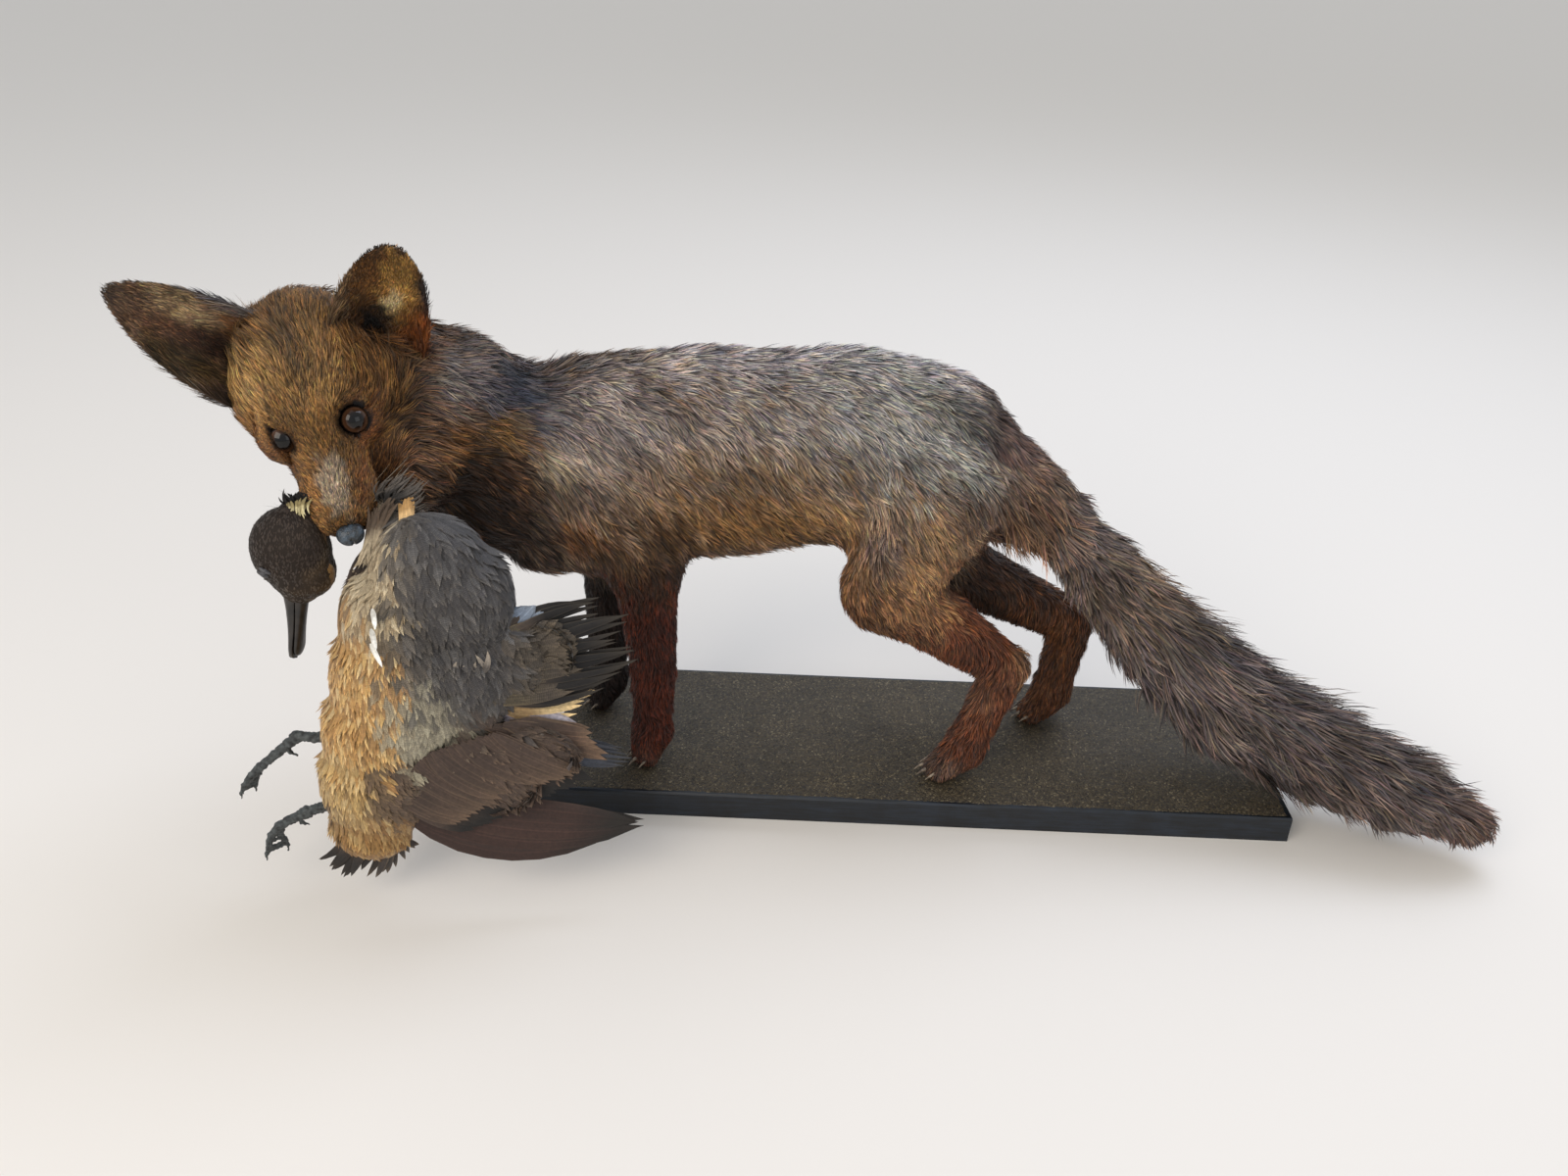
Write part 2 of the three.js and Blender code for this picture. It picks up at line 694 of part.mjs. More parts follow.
/** A plane in the head's frame, given in the fox's. */
function headPlane(point, direction) {
  const way = new THREE.Vector3(...direction).transformDirection(headFrame);
  return [fromHead(...point).toArray(), way.toArray()];
}

/** The space of a leg: below a slope, outside a line near the keel, above the board. */
const legSpace = (side, inner, top, slope, front, back) => [
  [[0, MIDLINE + side * inner, 0], [0, side, 0]],
  [top, slope],
  front,
  back,
  [[0, 0, TOP + GAP], [0, 0, 1]],
];
const REGIONS = {
  head: [
    [[-452, -88, 398], [-0.36, -0.91, -0.19]],
    headPlane([0, 30, -44], [0, -0.64, 0.77]),
  ],
  neck: [[[-322, MIDLINE, 320], [-0.95, -0.15, 0.28]]],
  tail_tip: [[[345, -70, 68], [0.93, -0.28, -0.24]]],
  tail_middle: [
    [[206, -32, 146], [0.74, -0.2, -0.62]],
    [[60, 0, 222], [0.795, 0, 0.607]],
  ],
  tail_root: [
    [[92, MIDLINE, 262], [0.82, -0.05, -0.57]],
    [[60, 0, 222], [0.795, 0, 0.607]],
    [[152, 18, 151], [0.3, -0.9, 0.3]],
  ],
  foreleg_left: legSpace(-1, 16, [0, 0, 228], [0, 0, -1],
    [[-284, 0, 0], [1, 0, 0]], [[-196, 0, 0], [-1, 0, 0]]),
  foreleg_right: legSpace(1, 16, [0, 0, 226], [0, 0, -1],
    [[-334, 0, 0], [1, 0, 0]], [[-240, 0, 0], [-1, 0, 0]]),
  hindleg_left: legSpace(-1, 9, [-70, 0, 272], [-0.2, 0, -0.98],
    [[-88, 0, 225], [0.917, 0, -0.397]], [[60, 0, 222], [-0.795, 0, -0.607]]),
  hindleg_right: legSpace(1, 9, [-40, 0, 266], [-0.2, 0, -0.98],
    [[-46, 0, 215], [0.917, 0, -0.397]], [[95, 0, 232], [-0.738, 0, -0.675]]),
};

const JAW = [
  headPlane([0, 0, -27], [0.1, 0, -1]),
  headPlane([-22, 0, -30], [1, 0, -0.25]),
];

const nodes = {};
for (const [name, planes] of Object.entries(REGIONS)) {
  nodes[name] = largest(fox.intersect(region(planes)));
  fox = fox.subtract(region(planes, GAP));
}
nodes.trunk = largest(fox);
nodes.lower_jaw = largest(nodes.head.intersect(region(JAW)));
nodes.head = largest(nodes.head.subtract(region(JAW, GAP)));

for (const [name, spec] of Object.entries(ears)) nodes[name] = solid(ear(spec));
for (const [name, at] of Object.entries(eyes)) nodes[name] = eyeball(at);
nodes.nose = nosePad();

const duckParts = duckField();
const fleshAndNose = blend(1, flesh, inHead(egg(NOSE.at, NOSE.size)));
const nearFox = (x, y, z) => fleshAndNose(x, y, z) - DUCK_CLEAR;
const duckSkin = (field, budget) => solid(thin(
  surface(hollow(1, field, nearFox), [-545, -262, 6], [-205, -120, 350], CELL.duck),
  budget,
  () => 1,
));
let duck = duckSkin(duckParts.body, BUDGET.duckBody)
  .add(duckSkin(duckParts.head, BUDGET.duckHead))
  .add(solid(bite()));
for (const piece of [
  ...duckFoot([-440, -202, 138], [-488, -195, 129], [-522, -200, 92]),
  ...duckFoot([-434, -208, 100], [-485, -210, 68], [-508, -210, 42]),
]) duck = duck.add(piece);
nodes.duck = largest(duck);

nodes.board = solid(boardShape());

// ------------------------------------------------------------------ the scene

const FINISH = {
  coat: { color: 0x6a452c, roughness: 0.9, metalness: 0 },
  legs: { color: 0x5e2f1a, roughness: 0.9, metalness: 0 },
  brush: { color: 0x3f2c22, roughness: 0.9, metalness: 0 },
  ears: { color: 0x4a3122, roughness: 0.9, metalness: 0 },
  glass: { color: 0x120a07, roughness: 0.08, metalness: 0 },
  pad: { color: 0x34363a, roughness: 0.5, metalness: 0 },
  feathers: { color: 0x7d6148, roughness: 0.8, metalness: 0 },
  paint: { color: 0x1b1f22, roughness: 0.6, metalness: 0 },
};
const FINISH_OF = {
  leg: FINISH.legs,
  tail: FINISH.brush,
  ear: FINISH.ears,
  eye: FINISH.glass,
  nose: FINISH.pad,
  duck: FINISH.feathers,
  board: FINISH.paint,
};
const group = new THREE.Group();
for (const [name, body] of Object.entries(nodes)) {
  const key = Object.keys(FINISH_OF).find((word) => name.includes(word));
  const mesh = new THREE.Mesh(
    shape(body),
    new THREE.MeshStandardMaterial(key ? FINISH_OF[key] : FINISH.coat),
  );
  mesh.name = name;
  group.add(mesh);
}

export default group;
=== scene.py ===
"""A mounted red fox holding a dead duck, on a painted board, for Blender 4.5.

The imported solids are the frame.  One skin replaces the fox's nodes of flesh and
lies inside them by the depth of the coat; the coat is thousands of thin tufts
that follow the lie of the hair.  The duck is feathered in the same way with
vanes.  Everything is in metres, +Z up, +X to the fox's tail, -Y to its left.
"""
import logging
import math
from collections.abc import Callable, Sequence
from dataclasses import dataclass, field
from enum import Enum

import bpy
import numpy as np
from mathutils import Euler, Matrix, Vector, kdtree
from mathutils.bvhtree import BVHTree


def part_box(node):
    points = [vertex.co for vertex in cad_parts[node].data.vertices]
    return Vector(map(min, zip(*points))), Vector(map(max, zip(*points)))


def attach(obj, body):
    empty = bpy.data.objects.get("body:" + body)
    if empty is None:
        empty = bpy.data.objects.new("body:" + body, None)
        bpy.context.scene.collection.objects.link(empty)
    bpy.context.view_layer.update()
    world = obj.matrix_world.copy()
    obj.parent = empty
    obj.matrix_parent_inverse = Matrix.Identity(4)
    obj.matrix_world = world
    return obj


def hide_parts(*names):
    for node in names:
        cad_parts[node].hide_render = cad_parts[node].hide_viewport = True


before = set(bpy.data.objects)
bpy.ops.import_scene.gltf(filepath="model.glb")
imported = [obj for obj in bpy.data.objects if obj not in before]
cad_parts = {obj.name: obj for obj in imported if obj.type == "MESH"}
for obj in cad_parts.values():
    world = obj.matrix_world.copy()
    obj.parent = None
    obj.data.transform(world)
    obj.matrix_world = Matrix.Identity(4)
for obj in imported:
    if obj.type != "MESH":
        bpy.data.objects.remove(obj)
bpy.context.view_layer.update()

LOG = logging.getLogger("fox_mount")
MM = 0.001
BODY = "root"
BAKE_MAP = "OFBake"
PATCH = 0.003  # side of the patch of the bake map that one tuft covers
FULL_TUFTS, QUICK_TUFTS = 1.0, 0.35  # the share of the tufts that is grown
TUFTS_WISHED = 1.6  # makes up for the overlap of tufts that land at random
SEEDS_PER_CELL = 4  # places tried for each feather, so that few cells stay bare
VANE_LENGTH = 0.1  # the length of vane that the vane map's height of one stands for
VANE_CUP = 0.22  # how far a vane's edges fall below its shaft, as a share of half its width
Array = np.ndarray
Piece = bpy.types.Object
Tree = bpy.types.NodeTree
Socket = bpy.types.NodeSocket
Inputs = dict[str | int, object]
Point = tuple[float, float, float]


# ------------------------------------------------------------------ small tools


def linear(hex_colour: str) -> Array:
    """Turns an sRGB hex colour such as "#7A5C3E" into linear red, green, blue."""
    srgb = np.array([int(hex_colour[i : i + 2], 16) / 255 for i in (1, 3, 5)])
    return np.where(srgb <= 0.04045, srgb / 12.92, ((srgb + 0.055) / 1.055) ** 2.4)


def rgba(hex_colour: str) -> tuple[float, float, float, float]:
    """The same colour as a shader socket takes it."""
    return (*(float(v) for v in linear(hex_colour)), 1.0)


def unit(vectors: Array) -> Array:
    """Vectors made one long, along the last axis."""
    length = np.linalg.norm(vectors, axis=-1, keepdims=True)
    return vectors / np.maximum(length, 1e-12)


def ease(value: Array, low: float, high: float) -> Array:
    """A smooth step from 0 at low to 1 at high."""
    t = np.clip((value - low) / (high - low), 0.0, 1.0)
    return t * t * (3 - 2 * t)


def dot(a: Array, b: Array) -> Array:
    """Row by row dot product, kept as a column."""
    return np.sum(a * b, axis=-1, keepdims=True)


def swing(a: Array, b: Array, angle: Array) -> Array:
    """Directions turned from a towards b, each by its own angle in radians."""
    return np.cos(angle)[..., None] * a + np.sin(angle)[..., None] * b


def nearest(places: Array, points: Array) -> Array:
    """The row of the place that is nearest to each point."""
    tree = kdtree.KDTree(len(places))
    for number, spot in enumerate(places.tolist()):
        tree.insert(spot, number)
    tree.balance()
    return np.array([tree.find(point)[1] for point in points.tolist()])


def deselect() -> None:
    """Clears the selection, which operators act on."""
    if bpy.context.object and bpy.context.object.mode != "OBJECT":
        bpy.ops.object.mode_set(mode="OBJECT")
    bpy.ops.object.select_all(action="DESELECT")


def select(*objects: Piece) -> None:
    """Selects only these objects, the first of them active."""
    deselect()
    for each in objects:
        each.select_set(True)
    bpy.context.view_layer.objects.active = objects[0]


def select_faces(piece: Piece, wanted: Array) -> None:
    """Goes into edit mode with only these faces of a piece selected."""
    select(piece)
    bpy.ops.object.mode_set(mode="EDIT")
    bpy.ops.mesh.select_mode(type="FACE")
    bpy.ops.mesh.select_all(action="DESELECT")
    bpy.ops.object.mode_set(mode="OBJECT")
    piece.data.polygons.foreach_set("select", wanted)
    bpy.ops.object.mode_set(mode="EDIT")


def edit(piece: Piece, operator: Callable[..., object], **settings: object) -> None:
    """Runs an operator of edit mode on the whole of a piece."""
    select(piece)
    bpy.ops.object.mode_set(mode="EDIT")
    bpy.ops.mesh.select_all(action="SELECT")
    operator(**settings)
    bpy.ops.object.mode_set(mode="OBJECT")


def join(name: str, pieces: Sequence[Piece]) -> Piece:
    """Makes one piece of several."""
    select(*pieces)
    if len(pieces) > 1:
        bpy.ops.object.join()
    joined = bpy.context.object
    joined.name = joined.data.name = name
    return joined


def settle(piece: Piece) -> None:
    """Puts a piece's place into its mesh, so that its object is at the origin."""
    select(piece)
    bpy.ops.object.transform_apply(location=True, rotation=True, scale=True)


def apply_modifier(piece: Piece, kind: str, **settings: object) -> None:
    """Adds a modifier with these settings and applies it."""
    select(piece)
    modifier = piece.modifiers.new(kind.title(), kind)
    for name, value in settings.items():
        setattr(modifier, name, value)
    bpy.ops.object.modifier_apply(modifier=modifier.name)


def remove(piece: Piece) -> None:
    """Deletes a helper object and its mesh."""
    mesh = piece.data
    bpy.data.objects.remove(piece)
    bpy.data.meshes.remove(mesh)


def copy_nodes(name: str, nodes: Sequence[str], grow: float = 0.0) -> Piece:
    """Copies CAD nodes into one new object with merged vertices.

    Args:
        name: the new object's name.
        nodes: the CAD nodes to copy.
        grow: how far each copy is fattened, so that pieces that touch overlap.

    Returns:
        The new object, at the origin.
    """
    copies = []
    for node in nodes:
        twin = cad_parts[node].copy()
        twin.data = twin.data.copy()
        twin.parent = None
        twin.matrix_world = Matrix.Identity(4)
        twin.data.materials.clear()
        for key in list(twin.keys()):
            del twin[key]
        bpy.context.collection.objects.link(twin)
        edit(twin, bpy.ops.mesh.remove_doubles, threshold=1e-6)
        if grow:
            apply_modifier(twin, "DISPLACE", strength=grow, mid_level=0.0)
        copies.append(twin)
    return join(name, copies)


def coordinates(mesh: bpy.types.Mesh) -> Array:
    """A mesh's vertices as rows."""
    flat = np.empty(len(mesh.vertices) * 3)
    mesh.vertices.foreach_get("co", flat)
    return flat.reshape(-1, 3)


def place(mesh: bpy.types.Mesh, points: Array) -> None:
    """Moves a mesh's vertices."""
    mesh.vertices.foreach_set("co", np.ascontiguousarray(points, np.float32).ravel())
    mesh.update()


def corners(mesh: bpy.types.Mesh) -> Array:
    """A mesh's triangles as rows of three vertex numbers."""
    mesh.calc_loop_triangles()
    flat = np.empty(len(mesh.loop_triangles) * 3, np.int32)
    mesh.loop_triangles.foreach_get("vertices", flat)
    return flat.reshape(-1, 3)


def paint(mesh: bpy.types.Mesh, tint: Array) -> None:
    """Gives a mesh its tint attribute, one linear red, green, blue row for each vertex."""
    full = np.ones((len(tint), 4), np.float32)
    full[:, :3] = tint
    layer = mesh.attributes.new("tint", "FLOAT_COLOR", "POINT")
    layer.data.foreach_set("color", full.ravel())


def vertex_normals(points: Array, faces: Array) -> Array:
    """Smooth normals of a triangle mesh."""
    normals = np.zeros_like(points)
    a, b, c = (points[faces[:, i]] for i in range(3))
    face_normals = np.cross(b - a, c - a)
    for i in range(3):
        np.add.at(normals, faces[:, i], face_normals)
    return unit(normals)


def soften(values: Array, faces: Array, rounds: int, strength: float = 0.5) -> Array:
    """Averages values over the neighbours of each vertex, a number of times."""
    edges = np.vstack([faces[:, [0, 1]], faces[:, [1, 2]], faces[:, [2, 0]]])
    edges = np.unique(np.sort(edges, axis=1), axis=0)
    a = np.concatenate([edges[:, 0], edges[:, 1]])
    b = np.concatenate([edges[:, 1], edges[:, 0]])
    order = np.argsort(a, kind="stable")
    a, b = a[order], b[order]
    starts = np.searchsorted(a, np.arange(len(values)))
    count = np.maximum(np.bincount(a, minlength=len(values)), 1)
    starts = np.minimum(starts, len(a) - 1)
    out = values.astype(float)
    for _ in range(rounds):
        mean = np.add.reduceat(out[b], starts, axis=0)
        mean = mean / count.reshape(-1, *([1] * (out.ndim - 1)))
        out = out + strength * (mean - out)
    return out


class Waves:
    """Smooth seeded noise about one unit high, made of plane waves of like length."""

    def __init__(self, length: float, seed: int, count: int = 24) -> None:
        """Draws count waves about as long as length, in metres."""
        rng = np.random.default_rng(seed)
        way = unit(rng.normal(size=(count, 3)))
        self.k = way * (2 * math.pi / length) * rng.uniform(0.6, 1.5, (count, 1))
        self.phase = rng.uniform(0, 2 * math.pi, count)
        self.scale = math.sqrt(2 / count)

    def __call__(self, points: Array) -> Array:
        """The noise at each row of points."""
        return self.scale * np.sin(points @ self.k.T + self.phase).sum(axis=1)


def build_mesh(
    name: str, points: Array, faces: Array, tint: Array | None = None,
    values: dict[str, Array] | None = None, bake_uv: Array | None = None,
) -> Piece:
    """Makes an object of triangles from arrays.

    Args:
        name: the object's name.
        points: one row for each vertex.
        faces: one row of three vertex numbers for each triangle.
        tint: one linear red, green, blue row for each vertex.
        values: number attributes, one for each vertex.
        bake_uv: the bake map's place of each vertex.

    Returns:
        The new object.
    """
    mesh = bpy.data.meshes.new(name)
    mesh.vertices.add(len(points))
    mesh.vertices.foreach_set("co", np.ascontiguousarray(points, np.float32).ravel())
    mesh.loops.add(faces.size)
    mesh.loops.foreach_set("vertex_index", np.ascontiguousarray(faces, np.int32).ravel())
    mesh.polygons.add(len(faces))
    mesh.polygons.foreach_set("loop_start", np.arange(0, faces.size, 3, dtype=np.int32))
    mesh.update(calc_edges=True)
    if tint is not None:
        paint(mesh, tint)
    for key, column in (values or {}).items():
        layer = mesh.attributes.new(key, "FLOAT", "POINT")
        layer.data.foreach_set("value", np.ascontiguousarray(column, np.float32))
    if bake_uv is not None:
        layer = mesh.uv_layers.new(name=BAKE_MAP)
        layer.data.foreach_set("uv", bake_uv[faces.ravel()].astype(np.float32).ravel())
    mesh.shade_smooth()
    piece = bpy.data.objects.new(name, mesh)
    bpy.context.collection.objects.link(piece)
    return piece


def repeat(pattern: Sequence[Sequence[int]], rows: int, count: int) -> Array:
    """The triangles of count copies of a pattern, each with its own rows of points."""
    faces = np.array(pattern)[None] + (np.arange(count) * rows)[:, None, None]
    return faces.reshape(-1, 3)


def triangle_areas(points: Array, faces: Array) -> Array:
    """The area of each triangle."""
    a, b, c = (points[faces[:, i]] for i in range(3))
    return 0.5 * np.linalg.norm(np.cross(b - a, c - a), axis=1)


@dataclass
class Sown:
    """Places scattered over triangles; called with vertex values, it reads them there."""

    triangles: Array  # the vertex numbers round each place
    share: Array  # how near each place is to each of the three
    pick: Array  # the row of the triangle each place is in

    def __call__(self, values: Array) -> Array:
        """The values at the places, one row for each."""
        rows = values[self.triangles]
        return np.einsum("nk,nk...->n...", self.share, rows)

    def kept(self, keep: Array) -> "Sown":
        """Only some of the places."""
        return Sown(self.triangles[keep], self.share[keep], self.pick[keep])


def sow(faces: Array, weight: Array, count: int, rng: np.random.Generator) -> Sown:
    """Scatters places over triangles, more of them where the weight is greater."""
    pick = rng.choice(len(faces), count, p=weight / weight.sum())
    u, v = rng.random(count), rng.random(count)
    flip = u + v > 1
    u[flip], v[flip] = 1 - u[flip], 1 - v[flip]
    return Sown(faces[pick], np.stack([1 - u - v, u, v], axis=1), pick)


def bend_along(points: Array, faces: Array, normals: Array, lie: Array) -> Array:
    """How fast the surface turns along a direction at each vertex, one over metres."""
    edges = np.vstack([faces[:, [0, 1]], faces[:, [1, 2]], faces[:, [2, 0]]])
    a, b = edges[:, 0], edges[:, 1]
    along = dot(points[b] - points[a], lie[a])[:, 0]
    rate = dot(normals[b] - normals[a], lie[a])[:, 0] * along
    top = np.bincount(a, rate, len(points))
    under = np.bincount(a, along * along, len(points)) + 1e-12
    return soften(np.clip(top / under, -40.0, 70.0), faces, 4)


def unwrap(points: Array, faces: Array) -> Array:
    """Unwraps triangles onto the bake map.

    Args:
        points: the vertices.
        faces: the triangles to unwrap; vertices that they don't use are left out.

    Returns:
        The bake map's place of each triangle's three corners.
    """
    used, numbers = np.unique(faces, return_inverse=True)
    sheet = build_mesh("unwrapped", points[used], numbers.reshape(-1, 3))
    sheet.data.uv_layers.new(name=BAKE_MAP)
    edit(sheet, bpy.ops.uv.smart_project, angle_limit=math.radians(60), island_margin=0.004)
    flat = np.empty(len(faces) * 6)
    sheet.data.uv_layers[BAKE_MAP].data.foreach_get("uv", flat)
    remove(sheet)
    return flat.reshape(-1, 3, 2) * (1 - 2 * PATCH) + PATCH


def loft(name: str, rings: Array) -> Piece:
    """A closed skin over rings of points, all with the same number of points.

    Args:
        name: the object's name.
        rings: an array of rings, points and coordinates, in metres.

    Returns:
        The new object, closed at both ends.
    """
    count, around = rings.shape[:2]
    points = np.vstack([rings.reshape(-1, 3), rings[0].mean(axis=0), rings[-1].mean(axis=0)])
    i, j = np.meshgrid(np.arange(count - 1), np.arange(around), indexing="ij")
    a, b = (i * around + j).ravel(), (i * around + (j + 1) % around).ravel()
    j = np.arange(around)
    last, first, end = (count - 1) * around, count * around, count * around + 1
    faces = np.vstack([
        np.stack([a, b, b + around], axis=1), np.stack([a, b + around, a + around], axis=1),
        np.stack([(j + 1) % around, j, np.full(around, first)], axis=1),
        np.stack([last + j, last + (j + 1) % around, np.full(around, end)], axis=1),
    ])
    piece = build_mesh(name, points, faces)
    edit(piece, bpy.ops.mesh.normals_make_consistent, inside=False)
    return piece


def feed(tree: Tree, node: bpy.types.Node, inputs: Inputs) -> None:
    """Gives a node's inputs, by name or number, their values or the sockets they link to."""
    for key, value in inputs.items():
        if isinstance(value, Socket):
            tree.links.new(value, node.inputs[key])
        else:
            node.inputs[key].default_value = value


def add_node(
    tree: Tree, kind: str, inputs: Inputs | None = None,
    stops: Sequence[tuple[float, str]] = (), **settings: object,
) -> bpy.types.Node:
    """Adds one shader node.

    Args:
        tree: the tree that it joins.
        kind: the node's type name, without the ShaderNode in front.
        inputs: a value or a linked output socket for each input, by name or number.
        stops: the places and hex colours of a colour ramp, in rising order.
        settings: the node's own properties.

    Returns:
        The new node.
    """
    node = tree.nodes.new("ShaderNode" + kind)
    for key, value in settings.items():
        setattr(node, key, value)
    feed(tree, node, inputs or {})
    if stops:
        ramp = node.color_ramp.elements
        ramp[0].position, ramp[1].position = stops[0][0], stops[-1][0]
        for at, _ in stops[1:-1]:
            ramp.new(at)
        for stop, (_, colour) in zip(ramp, stops):
            stop.color = rgba(colour)
    return node


def shaded(tree: Tree, colour: Socket, noise: Socket, low: float, high: float) -> Socket:
    """A colour made between low and high times as bright by a noise."""
    factor = add_node(
        tree, "MapRange",
        {"Value": noise, "From Min": 0.3, "From Max": 0.7, "To Min": low, "To Max": high},
    )
    shade = add_node(
        tree, "VectorMath", {0: colour, 1: factor.outputs["Result"]}, operation="MULTIPLY",
    )
    return shade.outputs["Vector"]


def wear(piece: Piece, material: bpy.types.Material, slot: str, *nodes: str) -> None:
    """Dresses a finished piece and hands it to the frame."""
    piece.data.materials.clear()
    piece.data.materials.append(material)
    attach(piece, BODY)
    if nodes:
        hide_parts(*nodes)
    LOG.info("%s: %d faces", piece.name, len(piece.data.polygons))


# --------------------------------------------------------------------- finishes


@dataclass(frozen=True)
class Finish:
    """What a surface is made of; each kind says what its shader's inputs take."""

    name: str

    def material(self) -> bpy.types.Material:
        """Builds the finish as a material with one Principled shader."""
        material = bpy.data.materials.new(self.name)
        material.use_nodes = True
        tree = material.node_tree
        tree.nodes.clear()
        shader = add_node(tree, "BsdfPrincipled")
        add_node(tree, "OutputMaterial", {"Surface": shader.outputs["BSDF"]})
        feed(tree, shader, self.inputs(tree))
        return material

    def inputs(self, tree: Tree) -> Inputs:
        """Adds the finish's nodes, and returns what each of the shader's inputs takes."""
        raise NotImplementedError


@dataclass(frozen=True)
class HairFinish(Finish):
    """Animal hair: keratin, whose scales give a soft broken gloss along each hair.

    The colour comes from the tint attribute, which the markings fill in.
    """

    roughness: float = 0.52
    gloss: float = 0.30
    sheen: float = 0.10
    streak: float = 900.0  # one over the spacing of the fine light and dark, in metres

    def inputs(self, tree: Tree) -> Inputs:
        """Tint with a fine light and dark streak."""
        tint = add_node(tree, "Attribute", attribute_name="tint").outputs["Color"]
        at = add_node(tree, "TexCoord").outputs["Object"]
        grain = add_node(tree, "TexNoise", {"Vector": at, "Scale": self.streak, "Detail": 2.0})
        return {
            "Base Color": shaded(tree, tint, grain.outputs["Fac"], 0.82, 1.16),
            "Roughness": self.roughness, "Specular IOR Level": self.gloss,
            "Sheen Weight": self.sheen, "Sheen Roughness": 0.4,
        }


@dataclass(frozen=True)
class HideFinish(Finish):
    """Tanned hide with short flat hair: the tint with a fine combed bump."""

    roughness: float = 0.7
    grain: float = 1400.0  # one over the spacing of the nap, in metres

    def inputs(self, tree: Tree) -> Inputs:
        """Tint with a dark and light nap that also stands up."""
        tint = add_node(tree, "Attribute", attribute_name="tint").outputs["Color"]
        at = add_node(tree, "TexCoord").outputs["Object"]
        nap = add_node(
            tree, "TexNoise",
            {"Vector": at, "Scale": self.grain, "Detail": 3.0, "Roughness": 0.6},
        ).outputs["Fac"]
        bump = add_node(tree, "Bump", {"Height": nap, "Strength": 0.6, "Distance": 0.0005})
        return {
            "Base Color": shaded(tree, tint, nap, 0.6, 1.15), "Normal": bump.outputs["Normal"],
            "Roughness": self.roughness, "Specular IOR Level": 0.25,
        }


@dataclass(frozen=True)
class PlumageFinish(Finish):
    """Feather vanes: keratin barbs in fine slanting rows off a shaft, barred and edged."""

    pitch: float = 0.0013  # of the wavy bars
    barb: float = 0.00045  # the spacing of the rows of barbs
    roughness: float = 0.55

    def inputs(self, tree: Tree) -> Inputs:
        """Tint with bars, barbs, a pale shaft and a pale rim."""
        known = {"tint": add_node(tree, "Attribute", attribute_name="tint").outputs["Color"]}
        for name in ("bars", "rim", "along"):
            known[name] = add_node(tree, "Attribute", attribute_name=name).outputs["Fac"]
        vane = add_node(tree, "UVMap", uv_map="vane")
        parts = add_node(tree, "SeparateXYZ", {"Vector": vane.outputs["UV"]})
        at = add_node(tree, "TexCoord").outputs["Object"]
        warp = add_node(tree, "TexNoise", {"Vector": at, "Scale": 420.0, "Detail": 2.0})
        known |= {"x": parts.outputs["X"], "y": parts.outputs["Y"], "warp": warp.outputs["Fac"]}
        cycle = 2 * math.pi
        for name, kind, operation, *values in (
            ("off", "Math", "MULTIPLY_ADD", "x", 2.0, -1.0),
            ("off", "Math", "ABSOLUTE", "off"),  # 0 at the shaft, 1 at the edge
            ("reach", "Math", "MULTIPLY", "y", VANE_LENGTH),
            ("turns", "Math", "MULTIPLY", "reach", cycle / self.pitch),
            ("turns", "Math", "MULTIPLY_ADD", "warp", 11.0, "turns"),
            ("wave", "Math", "MULTIPLY_ADD", "off", -2.4, "turns"),
            ("wave", "Math", "SINE", "wave"),
            ("barred", "Math", "MULTIPLY", "bars", 0.36),
            ("barred", "Math", "MULTIPLY", "wave", "barred"),
            ("slant", "Math", "MULTIPLY_ADD", "off", -0.0032, "reach"),
            ("slant", "Math", "MULTIPLY", "slant", cycle / self.barb),
            ("comb", "Math", "SINE", "slant"),
            ("light", "Math", "ADD", "barred", 1.0),
            ("light", "Math", "MULTIPLY_ADD", "comb", 0.07, "light"),
            ("blot", "MapRange", None, "warp", 0.3, 0.7, 0.8, 1.18),
            ("light", "Math", "MULTIPLY", "light", "blot"),
            ("shaft", "MapRange", None, "off", 0.03, 0.10, 1.45, 1.0),
            ("light", "Math", "MULTIPLY", "light", "shaft"),
            ("shade", "VectorMath", "MULTIPLY", "tint", "light"),
            ("paler", "VectorMath", "MULTIPLY_ADD", "shade", (1.9, 1.75, 1.5),
             (0.05, 0.04, 0.025)),
            ("edge", "Math", "MAXIMUM", "off", "along"),
            ("edge", "MapRange", None, "edge", 0.74, 0.96),
            ("edge", "Math", "MULTIPLY", "edge", "rim"),
        ):
            taken = {number: known.get(value, value) for number, value in enumerate(values)}
            settings = {"operation": operation} if operation else {}
            known[name] = add_node(tree, kind, taken, **settings).outputs[0]
        # a Mix node of colours takes its factor at 0 and its colours at 6 and 7
        pale = add_node(
            tree, "Mix", {0: known["edge"], 6: known["shade"], 7: known["paler"]},
            data_type="RGBA",
        )
        bump = add_node(
            tree, "Bump", {"Height": known["comb"], "Strength": 0.25, "Distance": 0.0003},
        )
        return {
            "Base Color": pale.outputs[2], "Normal": bump.outputs["Normal"],
            "Roughness": self.roughness, "Specular IOR Level": 0.3, "Sheen Weight": 0.15,
        }


